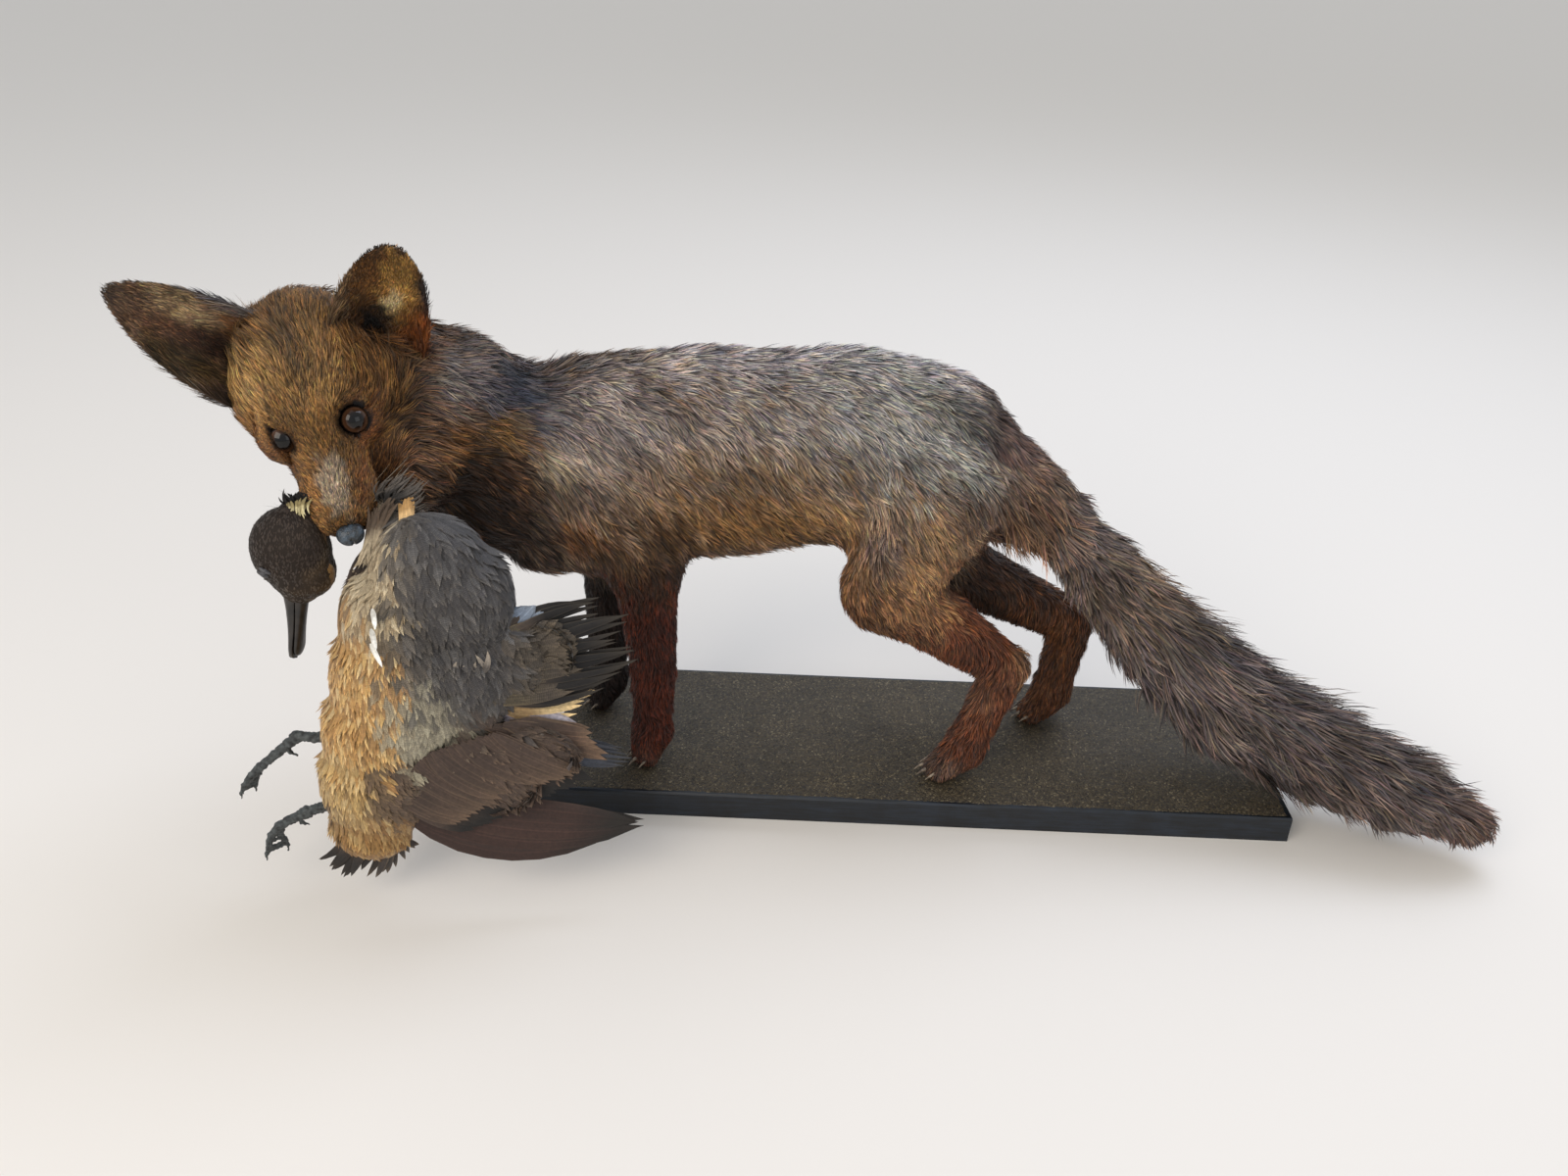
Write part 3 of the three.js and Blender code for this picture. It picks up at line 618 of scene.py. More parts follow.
@dataclass(frozen=True)
class GlassEyeFinish(Finish):
    """A taxidermist's glass eye: painted on the back of clear polished glass."""

    centre: Point
    gaze: Point
    radius: float

    def inputs(self, tree: Tree) -> Inputs:
        """An iris: a ring round the way the eye looks, black in the middle."""
        at = add_node(tree, "TexCoord").outputs["Object"]
        arm = add_node(tree, "VectorMath", {0: at, 1: self.centre}, operation="SUBTRACT")
        facing = add_node(
            tree, "VectorMath", {0: arm.outputs["Vector"], 1: self.gaze},
            operation="DOT_PRODUCT",
        )
        share = add_node(
            tree, "Math", {0: facing.outputs["Value"], 1: self.radius}, operation="DIVIDE",
        )
        ring = add_node(
            tree, "ValToRGB", {"Fac": share.outputs["Value"]},
            ((0.55, "#0B0705"), (0.64, "#4E3424"), (0.78, "#3A2416"), (0.88, "#120B08"),
             (0.96, "#050404")),
        )
        return {"Base Color": ring.outputs["Color"], "Roughness": 0.03, "IOR": 1.4}


@dataclass(frozen=True)
class PebbledSkinFinish(Finish):
    """Bare skin of a nose pad, painted and varnished: rows of small round pebbles."""

    low: str = "#101417"
    high: str = "#394753"
    pebble: float = 900.0  # one over the size of a pebble, in metres
    roughness: float = 0.38

    def inputs(self, tree: Tree) -> Inputs:
        """Two mottled tones over pebbles that stand out."""
        at = add_node(tree, "TexCoord").outputs["Object"]
        cells = add_node(tree, "TexVoronoi", {"Vector": at, "Scale": self.pebble})
        mottle = add_node(tree, "TexNoise", {"Vector": at, "Scale": 260.0})
        tone = add_node(
            tree, "ValToRGB", {"Fac": mottle.outputs["Fac"]},
            ((0.35, self.low), (0.68, self.high)),
        )
        bump = add_node(
            tree, "Bump",
            {"Height": cells.outputs["Distance"], "Strength": 0.8, "Distance": 0.0006},
            invert=True,
        )
        return {
            "Base Color": tone.outputs["Color"], "Normal": bump.outputs["Normal"],
            "Roughness": self.roughness, "Coat Weight": 0.3,
        }


@dataclass(frozen=True)
class HornFinish(Finish):
    """Horn of claws and bills, and dried bare skin: two tones in soft marks, finely grained."""

    low: str
    high: str
    scale: float = 220.0  # one over the size of the marks, in metres
    roughness: float = 0.4

    def inputs(self, tree: Tree) -> Inputs:
        """Two tones in marks, with a bump six times finer."""
        at = add_node(tree, "TexCoord").outputs["Object"]
        marks = add_node(tree, "TexNoise", {"Vector": at, "Scale": self.scale, "Detail": 4.0})
        tone = add_node(
            tree, "ValToRGB", {"Fac": marks.outputs["Fac"]},
            ((0.34, self.low), (0.66, self.high)),
        )
        fine = add_node(tree, "TexNoise", {"Vector": at, "Scale": self.scale * 6})
        bump = add_node(
            tree, "Bump",
            {"Height": fine.outputs["Fac"], "Strength": 0.35, "Distance": 0.0004},
        )
        return {
            "Base Color": tone.outputs["Color"], "Normal": bump.outputs["Normal"],
            "Roughness": self.roughness,
        }


@dataclass(frozen=True)
class PaintedWoodFinish(Finish):
    """Wood under old black paint: brush drag along the grain, rubbed paler in patches, with the
    sky's blue sheen painted into the paler tone.
    """

    low: str = "#070B10"
    # the blue cast of this paler tone is a painted sheen of the sky
    high: str = "#18212D"
    drag: float = 160.0  # one over the spacing of four brush marks, in metres

    def inputs(self, tree: Tree) -> Inputs:
        """Two tones where long brush marks and worn patches meet, the paler one with painted sheen.
        """
        at = add_node(tree, "TexCoord").outputs["Object"]
        along = add_node(tree, "Mapping", {"Vector": at, "Scale": (0.06, 1.0, 1.0)})
        brush = add_node(
            tree, "TexNoise",
            {"Vector": along.outputs["Vector"], "Scale": self.drag * 4, "Detail": 5.0},
        )
        patch = add_node(
            tree, "TexNoise", {"Vector": at, "Scale": 38.0, "Detail": 6.0, "Roughness": 0.65},
        )
        both = add_node(
            tree, "Math", {0: brush.outputs["Fac"], 1: patch.outputs["Fac"]},
            operation="MULTIPLY",
        ).outputs["Value"]
        tone = add_node(
            tree, "ValToRGB", {"Fac": both}, ((0.16, self.low), (0.42, self.high)),
        )
        bump = add_node(tree, "Bump", {"Height": both, "Strength": 0.5, "Distance": 0.0008})
        return {
            "Base Color": tone.outputs["Color"], "Normal": bump.outputs["Normal"],
            "Roughness": 0.42,
        }


@dataclass(frozen=True)
class GritFinish(Finish):
    """Dark sand glued on the board: grains of about a millimetre, a few of them pale."""

    low: str = "#251E15"
    high: str = "#514632"
    pale: str = "#82765C"
    grain: float = 700.0  # one over the size of a grain, in metres

    def inputs(self, tree: Tree) -> Inputs:
        """A tone for each grain, with stains, on grains that stand out."""
        at = add_node(tree, "TexCoord").outputs["Object"]
        grains = add_node(tree, "TexVoronoi", {"Vector": at, "Scale": self.grain})
        tone = add_node(
            tree, "ValToRGB", {"Fac": grains.outputs["Color"]},
            ((0.15, self.low), (0.8, self.high), (0.95, self.pale)),
        )
        patch = add_node(tree, "TexNoise", {"Vector": at, "Scale": 22.0, "Detail": 5.0})
        bump = add_node(
            tree, "Bump",
            {"Height": grains.outputs["Distance"], "Strength": 0.9, "Distance": 0.0008},
            invert=True,
        )
        return {
            "Base Color": shaded(
                tree, tone.outputs["Color"], patch.outputs["Fac"], 0.72, 1.12,
            ),
            "Normal": bump.outputs["Normal"], "Roughness": 0.62,
        }


@dataclass(frozen=True)
class FloorFinish(Finish):
    """A plain pale studio floor."""

    colour: str = "#E4DED6"

    def inputs(self, tree: Tree) -> Inputs:
        """One even colour."""
        return {"Base Color": rgba(self.colour), "Roughness": 0.6}


# --------------------------------------------------------------- the fox's frame


@dataclass(frozen=True)
class HeadFrame:
    """The head's own axes, in millimetres: x to the nose, y to the left ear, z up."""

    at: Point = (-0.442, -0.155, 0.366)
    nose: Point = (0.381, -0.639, -0.668)
    left: Point = (0.917, 0.352, 0.187)

    @property
    def axes(self) -> Array:
        """Rows that point to the nose, to the left ear and up through the brow."""
        nose = unit(np.array(self.nose))
        up = unit(np.cross(nose, np.array(self.left)))
        return np.array([nose, np.cross(up, nose), up])

    def out(self, local: Sequence[float] | Array) -> Array:
        """Points of the head's frame as places in the room, in metres."""
        return np.array(self.at) + np.asarray(local, float) @ self.axes * MM

    def turn(self, local: Sequence[float] | Array) -> Array:
        """Directions of the head's frame as directions in the room."""
        return np.asarray(local, float) @ self.axes

    def into(self, points: Array) -> Array:
        """Places in the room as points of the head's frame."""
        return (points - np.array(self.at)) @ self.axes.T / MM


HEAD = HeadFrame()
FACE_MIDDLE = (22.0, 0.0, -8.0)  # in the head's frame
NOSE_AT = (75.0, 0.0, -12.0)
NOSE_CLEAR = ((77.0, 0.0, -12.0), 8.0)  # middle and radius of the ball without hair roots


class Region(Enum):
    """The places a fox's coat changes at; each lists its CAD nodes."""

    HEAD = ("head",)
    JAW = ("lower_jaw",)
    NECK = ("neck",)
    TRUNK = ("trunk",)
    FORELEG_LEFT = ("foreleg_left",)
    FORELEG_RIGHT = ("foreleg_right",)
    HINDLEG_LEFT = ("hindleg_left",)
    HINDLEG_RIGHT = ("hindleg_right",)
    TAIL = ("tail_root", "tail_middle", "tail_tip")
    EAR_LEFT = ("ear_left",)
    EAR_RIGHT = ("ear_right",)


REGIONS = tuple(Region)
EARS = (Region.EAR_LEFT, Region.EAR_RIGHT)
PAWS = (
    ((-230, -51), (-241, -58)), ((-280, 33), (-294, 28)),
    ((42, -53), (14, -58)), ((133, 40), (109, 37)),
)  # middle of each foot and of its toes, in millimetres
FLESH = tuple(r for r in REGIONS if r not in EARS)


@dataclass(frozen=True)
class Pelt:
    """How the coat grows in one region, in millimetres and degrees."""

    depth: float  # from the solid's surface down to the skin
    length: float
    width: float
    lift: float  # off the skin
    cover: float  # how many hairs lie over one another


PELTS = {
    Region.HEAD: Pelt(0.9, 6.2, 0.46, 14.0, 3.2),
    Region.JAW: Pelt(0.9, 6.0, 0.50, 14.0, 2.4),
    Region.NECK: Pelt(5.5, 19.5, 0.68, 14.0, 5.0),
    Region.TRUNK: Pelt(4.6, 17.5, 0.66, 12.0, 5.0),
    Region.FORELEG_LEFT: Pelt(1.8, 9.0, 0.62, 12.0, 3.4),
    Region.FORELEG_RIGHT: Pelt(1.8, 9.0, 0.62, 12.0, 3.0),
    Region.HINDLEG_LEFT: Pelt(2.2, 11.0, 0.66, 12.0, 3.4),
    Region.HINDLEG_RIGHT: Pelt(2.2, 11.0, 0.66, 12.0, 3.0),
    Region.TAIL: Pelt(11.0, 40.0, 0.95, 17.0, 9.0),
    Region.EAR_LEFT: Pelt(0.4, 5.0, 0.42, 12.0, 2.4),
    Region.EAR_RIGHT: Pelt(0.4, 5.0, 0.42, 12.0, 2.4),
}


@dataclass(frozen=True)
class Eye:
    """One glass eye, in the head's frame: its ball, its gaze and its lids."""

    node: str
    side: int
    gaze: Point
    radius: float = 10.6
    opening: float = 66.0  # degrees from the gaze to the lid
    narrow: float = 0.9  # the opening's height over its width
    tilt: float = 0.0  # degrees the opening is turned about the gaze

    @property
    def centre(self) -> Array:
        """The ball's middle, in the head's frame."""
        return np.array([-1.0, self.side * 23.5, 2.0])

    @property
    def hollow(self) -> Array:
        """The way the socket in the flesh opens."""
        return unit(np.array([0.47, self.side * 0.47, 0.74]))

    def axes(self, middle: Array) -> tuple[Array, Array, Array]:
        """A way out of the ball with the long and short ways of the opening round it."""
        across = unit(np.cross(middle, (0.0, 0.0, 1.0)))
        over = np.cross(across, middle)
        tilt = math.radians(self.tilt)
        wide = math.cos(tilt) * across + math.sin(tilt) * over
        return middle, wide, math.cos(tilt) * over - math.sin(tilt) * across

    def edge(self, turn: Array) -> Array:
        """Degrees from the gaze to the lid's edge, for each turn about the gaze in radians."""
        long, short = np.cos(turn), np.sin(turn)
        lens = self.narrow * (1 - 0.6 * (1 - self.narrow) * long**2)
        reach = math.sin(math.radians(self.opening)) / np.hypot(long, short / lens)
        return np.degrees(np.arcsin(np.clip(reach, 0, 1)))

    def seen_from(
        self, local: Array, middle: Array | None = None
    ) -> tuple[Array, Array, Array, Array]:
        """Where points stand round the ball.

        Args:
            local: points in the head's frame.
            middle: the way that angles are measured from, the gaze unless given.

        Returns:
            Each point's way and distance from the ball's middle, its degrees from the
            middle way and its turn about it in radians.
        """
        arm = local - self.centre
        away = np.linalg.norm(arm, axis=1)
        way = arm / away[:, None]
        aim, wide, high = self.axes(unit(np.array(self.gaze)) if middle is None else middle)
        angle = np.degrees(np.arccos(np.clip(way @ aim, -1, 1)))
        return way, away, angle, np.arctan2(way @ high, way @ wide)

    def edge_from_hollow(self, turn: Array) -> Array:
        """Degrees from the hollow's way to the lid's edge, for each turn about that way."""
        steps = np.radians(np.arange(1.0, 110.0))
        turns, angles = np.meshgrid(turn, steps, indexing="ij")
        aim, wide, high = self.axes(self.hollow)
        ways = swing(aim, swing(wide, high, turns), angles)
        _, _, angle, about = self.seen_from(self.centre + ways.reshape(-1, 3) * self.radius)
        inside = (angle < self.edge(about)).reshape(turns.shape)
        return np.degrees(steps[np.argmin(inside, axis=1)])


EYES = (
    Eye("eye_left", 1, (0.52, 0.27, 0.81), opening=82.0, narrow=0.98, tilt=20.0),
    Eye("eye_right", -1, (0.68, 0.0, 0.73), opening=84.0, narrow=0.46, tilt=60.0),
)


@dataclass(frozen=True)
class Ear:
    """One ear's place in the head's frame: its base, its tip and where it opens."""

    base: Point
    tip: Point
    face: Point
    wide: float

    @property
    def axes(self) -> Array:
        """Rows along the ear, across it and out of its hollow."""
        along = unit(np.subtract(self.tip, self.base))
        out = np.array(self.face) - along * np.dot(self.face, along)
        out = unit(out)
        return np.array([along, np.cross(along, out), out])

    def into(self, local: Array) -> Array:
        """How far along (0 base, 1 tip), across (1 at the rim) and out each point is."""
        flat = (local - self.base) @ self.axes.T
        return flat / (np.linalg.norm(np.subtract(self.tip, self.base)), self.wide, self.wide)


EAR_SHAPES = {
    Region.EAR_LEFT: Ear((-42, 48, -6), (-63, 83, 99), (0.8, -0.1, 0.5), 35),
    Region.EAR_RIGHT: Ear((-55, -32, 14), (-101, -97, 71), (0.6, 0.1, 0.8), 35),
}


# ------------------------------------------------------------------ the fox's skin


EAR_SINK = (9.0, 5.0)  # how far an ear's base goes down and back into the head
LIP_LINE, LIP_DEPTH = 1.7, 2.4  # half width and depth of the line between the lips
LID_REACH = 42.0  # degrees of skin round an eye that take part in its lids
LID_OVER = 0.9  # millimetres from the glass to the outside of a lid
LID_UNDER = 0.8  # millimetres that the inside of a lid is drawn into the ball
LID_NEAR, LID_FAR = 4.0, 12.0  # millimetres off the glass between which the shaping fades


@dataclass
class Skin:
    """One closed skin under the whole coat, with what grows from each place."""

    voxel: float = 0.0036  # the size of its faces, before the head's are made finer
    overlap: float = 0.0004  # how far the solids are fattened, so that they melt together
    smooth_rounds: int = 5
    blend_rounds: int = 24  # how softly one region's coat runs into the next
    fine_within: tuple[float, ...] = (84.0, 42.0)  # millimetres from the face's middle
    points: Array = field(init=False)
    faces: Array = field(init=False)
    normals: Array = field(init=False)
    share: Array = field(init=False)  # how much each vertex belongs to each region
    label: Array = field(init=False)  # the region each triangle belongs to

    def build(self) -> Piece:
        """Builds the skin's object and keeps its arrays."""
        body = self._body()
        body_points = len(body.data.vertices)
        ears = [self._ear(region) for region in EARS]
        join("fox_skin", [body, *ears])
        self.points = coordinates(body.data)
        self.faces = corners(body.data)
        self._share_out(body_points)
        self._sink()
        self._shape_eyes()
        self._shape_mouth()
        self.normals = vertex_normals(self.points, self.faces)
        place(body.data, self.points)
        body.data.shade_smooth()
        return body

    def _body(self) -> Piece:
        """The flesh nodes as one smooth closed surface, finest on the head."""
        body = copy_nodes("fox_skin", [n for r in FLESH for n in r.value], self.overlap)
        body.data.remesh_voxel_size = self.voxel
        select(body)
        bpy.ops.object.voxel_remesh()
        apply_modifier(body, "SMOOTH", factor=0.5, iterations=self.smooth_rounds)
        for reach in self.fine_within:
            self._refine(body, reach)
        return body

    def _refine(self, body: Piece, reach: float) -> None:
        """Halves the faces within reach of the face's middle, in millimetres."""
        centres = np.empty(len(body.data.polygons) * 3)
        body.data.polygons.foreach_get("center", centres)
        local = HEAD.into(centres.reshape(-1, 3))
        select_faces(body, np.linalg.norm(local - FACE_MIDDLE, axis=1) < reach)
        bpy.ops.mesh.subdivide(number_cuts=1, smoothness=0.6)
        bpy.ops.object.mode_set(mode="OBJECT")

    def _ear(self, region: Region) -> Piece:
        """One ear: the CAD cup rounded, its base pushed into the head."""
        ear = copy_nodes(region.value[0] + "_copy", region.value)
        edit(ear, bpy.ops.mesh.tris_convert_to_quads, face_threshold=1.2, shape_threshold=1.2)
        apply_modifier(ear, "SUBSURF", levels=2, render_levels=2)
        shape = EAR_SHAPES[region]
        local = HEAD.into(coordinates(ear.data))
        low = 1 - ease(shape.into(local)[:, 0], 0.0, 0.34)
        sunk = local - shape.axes[0] * (EAR_SINK[0] * low)[:, None]
        sunk = sunk - shape.axes[2] * (EAR_SINK[1] * low)[:, None]
        place(ear.data, HEAD.out(sunk))
        return ear

    def _share_out(self, body_points: int) -> None:
        """Finds which region each vertex and triangle belongs to."""
        corners_at, owners, first = [], [], 0
        triangles = []
        for number, region in enumerate(REGIONS):
            if region in EARS:
                continue
            for node in region.value:
                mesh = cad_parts[node].data
                faces = corners(mesh)
                corners_at.append(coordinates(mesh))
                triangles.append(faces + first)
                first += len(corners_at[-1])
                owners += [number] * len(faces)
        tree = BVHTree.FromPolygons(
            np.vstack(corners_at).tolist(), np.vstack(triangles).tolist()
        )
        nearest = [owners[tree.find_nearest(p)[2]] for p in self.points[:body_points].tolist()]
        owner = np.array(nearest + [0] * (len(self.points) - body_points))
        ear_points = self.points[body_points:]
        is_left = HEAD.into(ear_points)[:, 1] > 0
        owner[body_points:] = np.where(
            is_left, REGIONS.index(Region.EAR_LEFT), REGIONS.index(Region.EAR_RIGHT)
        )
        hot = np.eye(len(REGIONS))[owner]
        self.share = soften(hot, self.faces, self.blend_rounds)
        self.label = np.sort(owner[self.faces], axis=1)[:, 1]

    def spread(self, value: Callable[[Pelt], float]) -> Array:
        """A value of the pelts, run smoothly from region to region."""
        return self.share @ np.array([value(PELTS[r]) for r in REGIONS])

    def _sink(self) -> None:
        """Draws the skin in by the coat's depth, and the ears' bases into the head."""
        normals = soften(vertex_normals(self.points, self.faces), self.faces, 4)
        depth = self.spread(lambda pelt: pelt.depth) * MM
        self.points = self.points - unit(normals) * depth[:, None]

    def _shape_eyes(self) -> None:
        """Draws the rims of the sockets over the balls as lids that hug the glass."""
        outward = vertex_normals(self.points, self.faces)
        local = HEAD.into(self.points)
        for eye in EYES:
            way, away, angle, turn = eye.seen_from(local, eye.hollow)
            faces_out = dot(outward, HEAD.turn(way))[:, 0] > 0
            rim, wanted = self._socket_rim(eye, away, angle, turn)
            beyond = np.clip((angle - rim) / LID_REACH, 0, 1)
            hold = 1 - ease(away, eye.radius + LID_NEAR, eye.radius + LID_FAR)
            moved = wanted + (rim + LID_REACH - wanted) * beyond
            angle = angle + (moved - angle) * hold * (beyond < 1)
            aim, wide, high = eye.axes(eye.hollow)
            way = swing(aim, swing(wide, high, turn), np.radians(angle))
            over = np.maximum(away, eye.radius + LID_OVER)
            snug = (1 - ease(beyond, 0.1, 0.9)) * hold
            over = over + (eye.radius + LID_OVER - over) * snug
            under = np.minimum(away, eye.radius - LID_UNDER)
            near = away < eye.radius + LID_FAR
            away = np.where(near & (beyond < 1), np.where(faces_out, over, under), away)
            local = np.where(near[:, None], eye.centre + way * away[:, None], local)
        self.points = HEAD.out(local)

    @staticmethod
    def _socket_rim(eye: Eye, away: Array, angle: Array, turn: Array) -> tuple[Array, Array]:
        """Degrees from the hollow's way to the socket's rim and to the lid's wanted edge."""
        slots = 24
        slot = np.floor((turn / (2 * math.pi) + 0.5) * slots).astype(int) % slots
        close = away < eye.radius + LID_NEAR
        rims = np.full(slots, 75.0)
        for number in range(slots):
            mine = angle[close & (slot == number)]
            if len(mine):
                rims[number] = mine.min()
        for _ in range(2):
            rims = (np.roll(rims, 1) + 2 * rims + np.roll(rims, -1)) / 4
        rims = np.r_[rims[-1], rims, rims[0]]
        centres = (np.arange(-1, slots + 1) + 0.5) / slots * 2 * math.pi - math.pi
        wanted = np.minimum(eye.edge_from_hollow(centres), rims + 0.7 * LID_REACH)
        return np.interp(turn, centres, rims), np.interp(turn, centres, wanted)

    def _shape_mouth(self) -> None:
        """Presses in the line where the lips meet."""
        local = HEAD.into(self.points)
        line = mouth_line(local[:, 0])
        front = ease(local[:, 0], -16, -6) * (1 - ease(local[:, 0], 66, 74))
        press = np.exp(-((local[:, 2] - line) / LIP_LINE) ** 2) * front
        inward = -np.sign(local[:, 1]) * LIP_DEPTH * press
        local[:, 1] += inward * (np.abs(local[:, 1]) > 3)
        self.points = HEAD.out(local)


def mouth_line(x: Array) -> Array:
    """The height of the line between the lips, in the head's frame, at x."""
    return -24.0 - 4.0 * ease(x, -10, 45)


# --------------------------------------------------------------------- the coat


BOARD_TOP = 25 * MM  # hair is rooted only above this height
BRUSH_END = (400.0, 470.0)  # the x that the brush turns down between, in millimetres
THIGH_BACK = ((72.0, -42.0, 262.0), (46.0, 42.0, 34.0))  # middle and half sizes of longer hair
MOTTLE = (0.22, 0.1, 0.72, 1.5)  # broad and fine share of the mottling, and its limits
LID_SHADES = ("#0C0807", "#140D0A")
TUFT_TONES = (0.3, 1.7)  # the darkest and the palest tuft, times the coat's own tone
PAINTED_LIGHT_HUE = (0.12, 0.0, -0.3)  # paints light and shade into the hue: pale hairs golden as if lit, dark ones slaty as if in cool shade
PALE_TIP, DARK_TIP = (2.5, 2.3, 1.9), (0.76, 0.78, 0.82)


@dataclass(frozen=True)
class Patch:
    """A soft-edged marking: an egg of one root and tip colour.

    Args:
        at: its middle, in millimetres, in the room's frame or the head's.
        size: its half sizes.
        root, tip: sRGB colours at the hair's root and tip.
        strength: how much of the coat below it covers.
        edge: half the width of its soft edge, as a share of its size.
    """

    at: Point
    size: Point
    root: str
    tip: str
    strength: float = 1.0
    edge: float = 0.55

    def cover(self, points: Array, ragged: Array) -> Array:
        """How much of each point it covers, its edge made ragged by the noise given."""
        away = np.linalg.norm((points - self.at) / self.size, axis=1)
        return self.strength * (1 - ease(away + 0.22 * ragged, 1 - self.edge, 1 + self.edge))


@dataclass(frozen=True)
class Tone:
    """A region's root and tip colours; the far foreleg's hold painted shade."""

    root: str
    tip: str


TONES = {
    Region.HEAD: Tone("#422B18", "#8C6639"),
    Region.JAW: Tone("#2C1A0F", "#5E3E22"),
    Region.NECK: Tone("#2C1E14", "#6B4E39"),
    Region.TRUNK: Tone("#403228", "#836E5E"),
    Region.FORELEG_LEFT: Tone("#220903", "#52200B"),
    # painted shade: the far foreleg's tones are darkened far below the near foreleg's
    Region.FORELEG_RIGHT: Tone("#0D0604", "#22120B"),
    Region.HINDLEG_LEFT: Tone("#32170A", "#673921"),
    Region.HINDLEG_RIGHT: Tone("#2B1A0D", "#674026"),
    Region.TAIL: Tone("#281F1B", "#655956"),
    Region.EAR_LEFT: Tone("#15100D", "#33261E"),
    Region.EAR_RIGHT: Tone("#221812", "#4C3B2E"),
}

BODY_PATCHES = (
    # the grey mantle over the back and the silvery rump: grizzled hair, with a silver-blue sheen of
    # light painted into its pale tips
    Patch((-40, -8, 400), (250, 70, 40), "#504D4D", "#C3BFC5", 0.75),
    Patch((-20, -60, 330), (105, 60, 62), "#3B3B37", "#969896", 0.85),
    Patch((-130, -70, 330), (110, 45, 40), "#4D4543", "#AFA8A8", 0.6),
    # the dark blue-grey nape and shoulder
    Patch((-352, -60, 372), (58, 60, 40), "#221E1D", "#5E5653", 0.8),
    Patch((-322, -70, 366), (34, 44, 36), "#14171F", "#363C4C", 0.95),
    Patch((-366, -95, 394), (22, 26, 26), "#403838", "#8F8582", 0.75),
    Patch((-352, -88, 372), (16, 20, 22), "#242025", "#655F66", 0.6),
    Patch((-370, -92, 334), (26, 30, 26), "#2E1A08", "#68451C", 0.85),
    Patch((-340, -80, 341), (14, 22, 16), "#54381A", "#A37C45", 0.7),
    Patch((-306, -78, 316), (16, 26, 14), "#5E5646", "#BDB197", 0.75),
    Patch((-290, -72, 254), (22, 30, 18), "#46270E", "#8A5420", 0.8),
    Patch((-203, -72, 272), (24, 26, 16), "#2C2725", "#6E665F", 0.7),
    Patch((-252, -80, 358), (44, 30, 14), "#5C4F3D", "#BDA786", 0.6),
    Patch((-262, -56, 345), (50, 44, 46), "#3E3A3D", "#A39998", 0.7),
    # the warm band low on the flank and across the thigh
    Patch((-145, -78, 312), (105, 34, 27), "#38281B", "#82674A", 0.9),
    Patch((10, -82, 286), (38, 34, 30), "#2D201A", "#665042", 0.9),
    # the golden flank and belly
    Patch((-140, -64, 262), (105, 40, 34), "#412713", "#856033", 0.85),
    Patch((-235, -60, 232), (60, 44, 34), "#1A0D04", "#3B2611", 0.85),
    # the thigh: golden in front, with a dark smudge, rusty behind
    Patch((-40, -72, 235), (60, 34, 56), "#573D2D", "#B28D64", 0.8),
    Patch((-52, -82, 262), (24, 26, 30), "#353133", "#7C7276", 0.7),
    Patch((62, -40, 262), (34, 46, 62), "#462C1E", "#805C42", 0.7),
    # the top of the croup, redder
    Patch((62, -8, 345), (58, 54, 40), "#261513", "#563F3A", 0.9),
    # the throat and the inside of the neck are nearly black
    Patch((-372, -90, 290), (56, 46, 46), "#0A0402", "#231409", 0.9),
    Patch((-352, -60, 240), (44, 50, 40), "#0F0A08", "#2B1D15", 0.85),
    # dark inner and front edges of the legs, pale hock point, and painted shade on the far thigh
    Patch((-250, -30, 120), (14, 18, 70), "#1C1210", "#3E2C26", 0.7),
    Patch((44, -34, 70), (16, 18, 44), "#1E1715", "#45362F", 0.7),
    Patch((84, -50, 142), (16, 22, 16), "#573C28", "#A57F5E", 0.6),
    Patch((48, -62, 118), (18, 18, 20), "#40291D", "#85604A", 0.5),
    Patch((6, -62, 36), (52, 26, 16), "#2A211C", "#6E5D52", 0.65),
    Patch((-232, -62, 34), (34, 26, 14), "#20160F", "#57443A", 0.5),
    Patch((-50, -50, 196), (44, 40, 34), "#32190C", "#6A3F22", 0.75),
    # painted shade: the far thigh's inner side, under the belly, made near black
    Patch((40, 30, 175), (60, 34, 50), "#17100D", "#33251E", 0.8),
    # the brush: a paler streak on top, dark underside, brown tip
    Patch((190, -20, 215), (60, 44, 36), "#3B2B20", "#80694F", 0.45),
    Patch((300, -60, 60), (120, 50, 34), "#1D1512", "#3D302A", 0.7),
    Patch((470, -112, 40), (50, 44, 40), "#2E1E17", "#70564A", 0.7),
)

FACE_PATCHES = (
    # the forehead: golden, with a dark streak that runs up between the ears
    Patch((-26, 0, 38), (40, 36, 22), "#533B22", "#9E7A4C", 0.85),
    Patch((-48, 0, 40), (34, 8, 16), "#2A1F16", "#56422B", 0.6),
    Patch((-44, -36, 14), (34, 22, 26), "#5A4126", "#B08C58", 0.85),
    Patch((-52, 40, -6), (34, 22, 32), "#2C1B0E", "#6A4522", 0.7),
    Patch((-66, -29, 27), (19, 15, 17), "#23160B", "#573A1D", 0.85),
    # rust round the eyes and down the sides of the muzzle
    Patch((0, 27, -6), (24, 15, 16), "#43220F", "#8A5026", 0.8),
    Patch((0, -27, -6), (22, 16, 16), "#3D2010", "#7C4A26", 0.8),
    Patch((34, 14, -14), (34, 10, 12), "#40220F", "#7E4E2B", 0.8),
    Patch((34, -14, -14), (34, 10, 12), "#44280F", "#8A6238", 0.7),
    # the worn top of the muzzle
    Patch((45, 0, 2), (20, 8.5, 14), "#766654", "#A5937E", 0.95, 0.3),
    # dark under the chin and behind the cheek
    Patch((-40, 44, -34), (44, 26, 26), "#160E08", "#382615", 0.8),
    Patch((-30, 0, -56), (60, 40, 22), "#160D06", "#342214", 0.7),
)


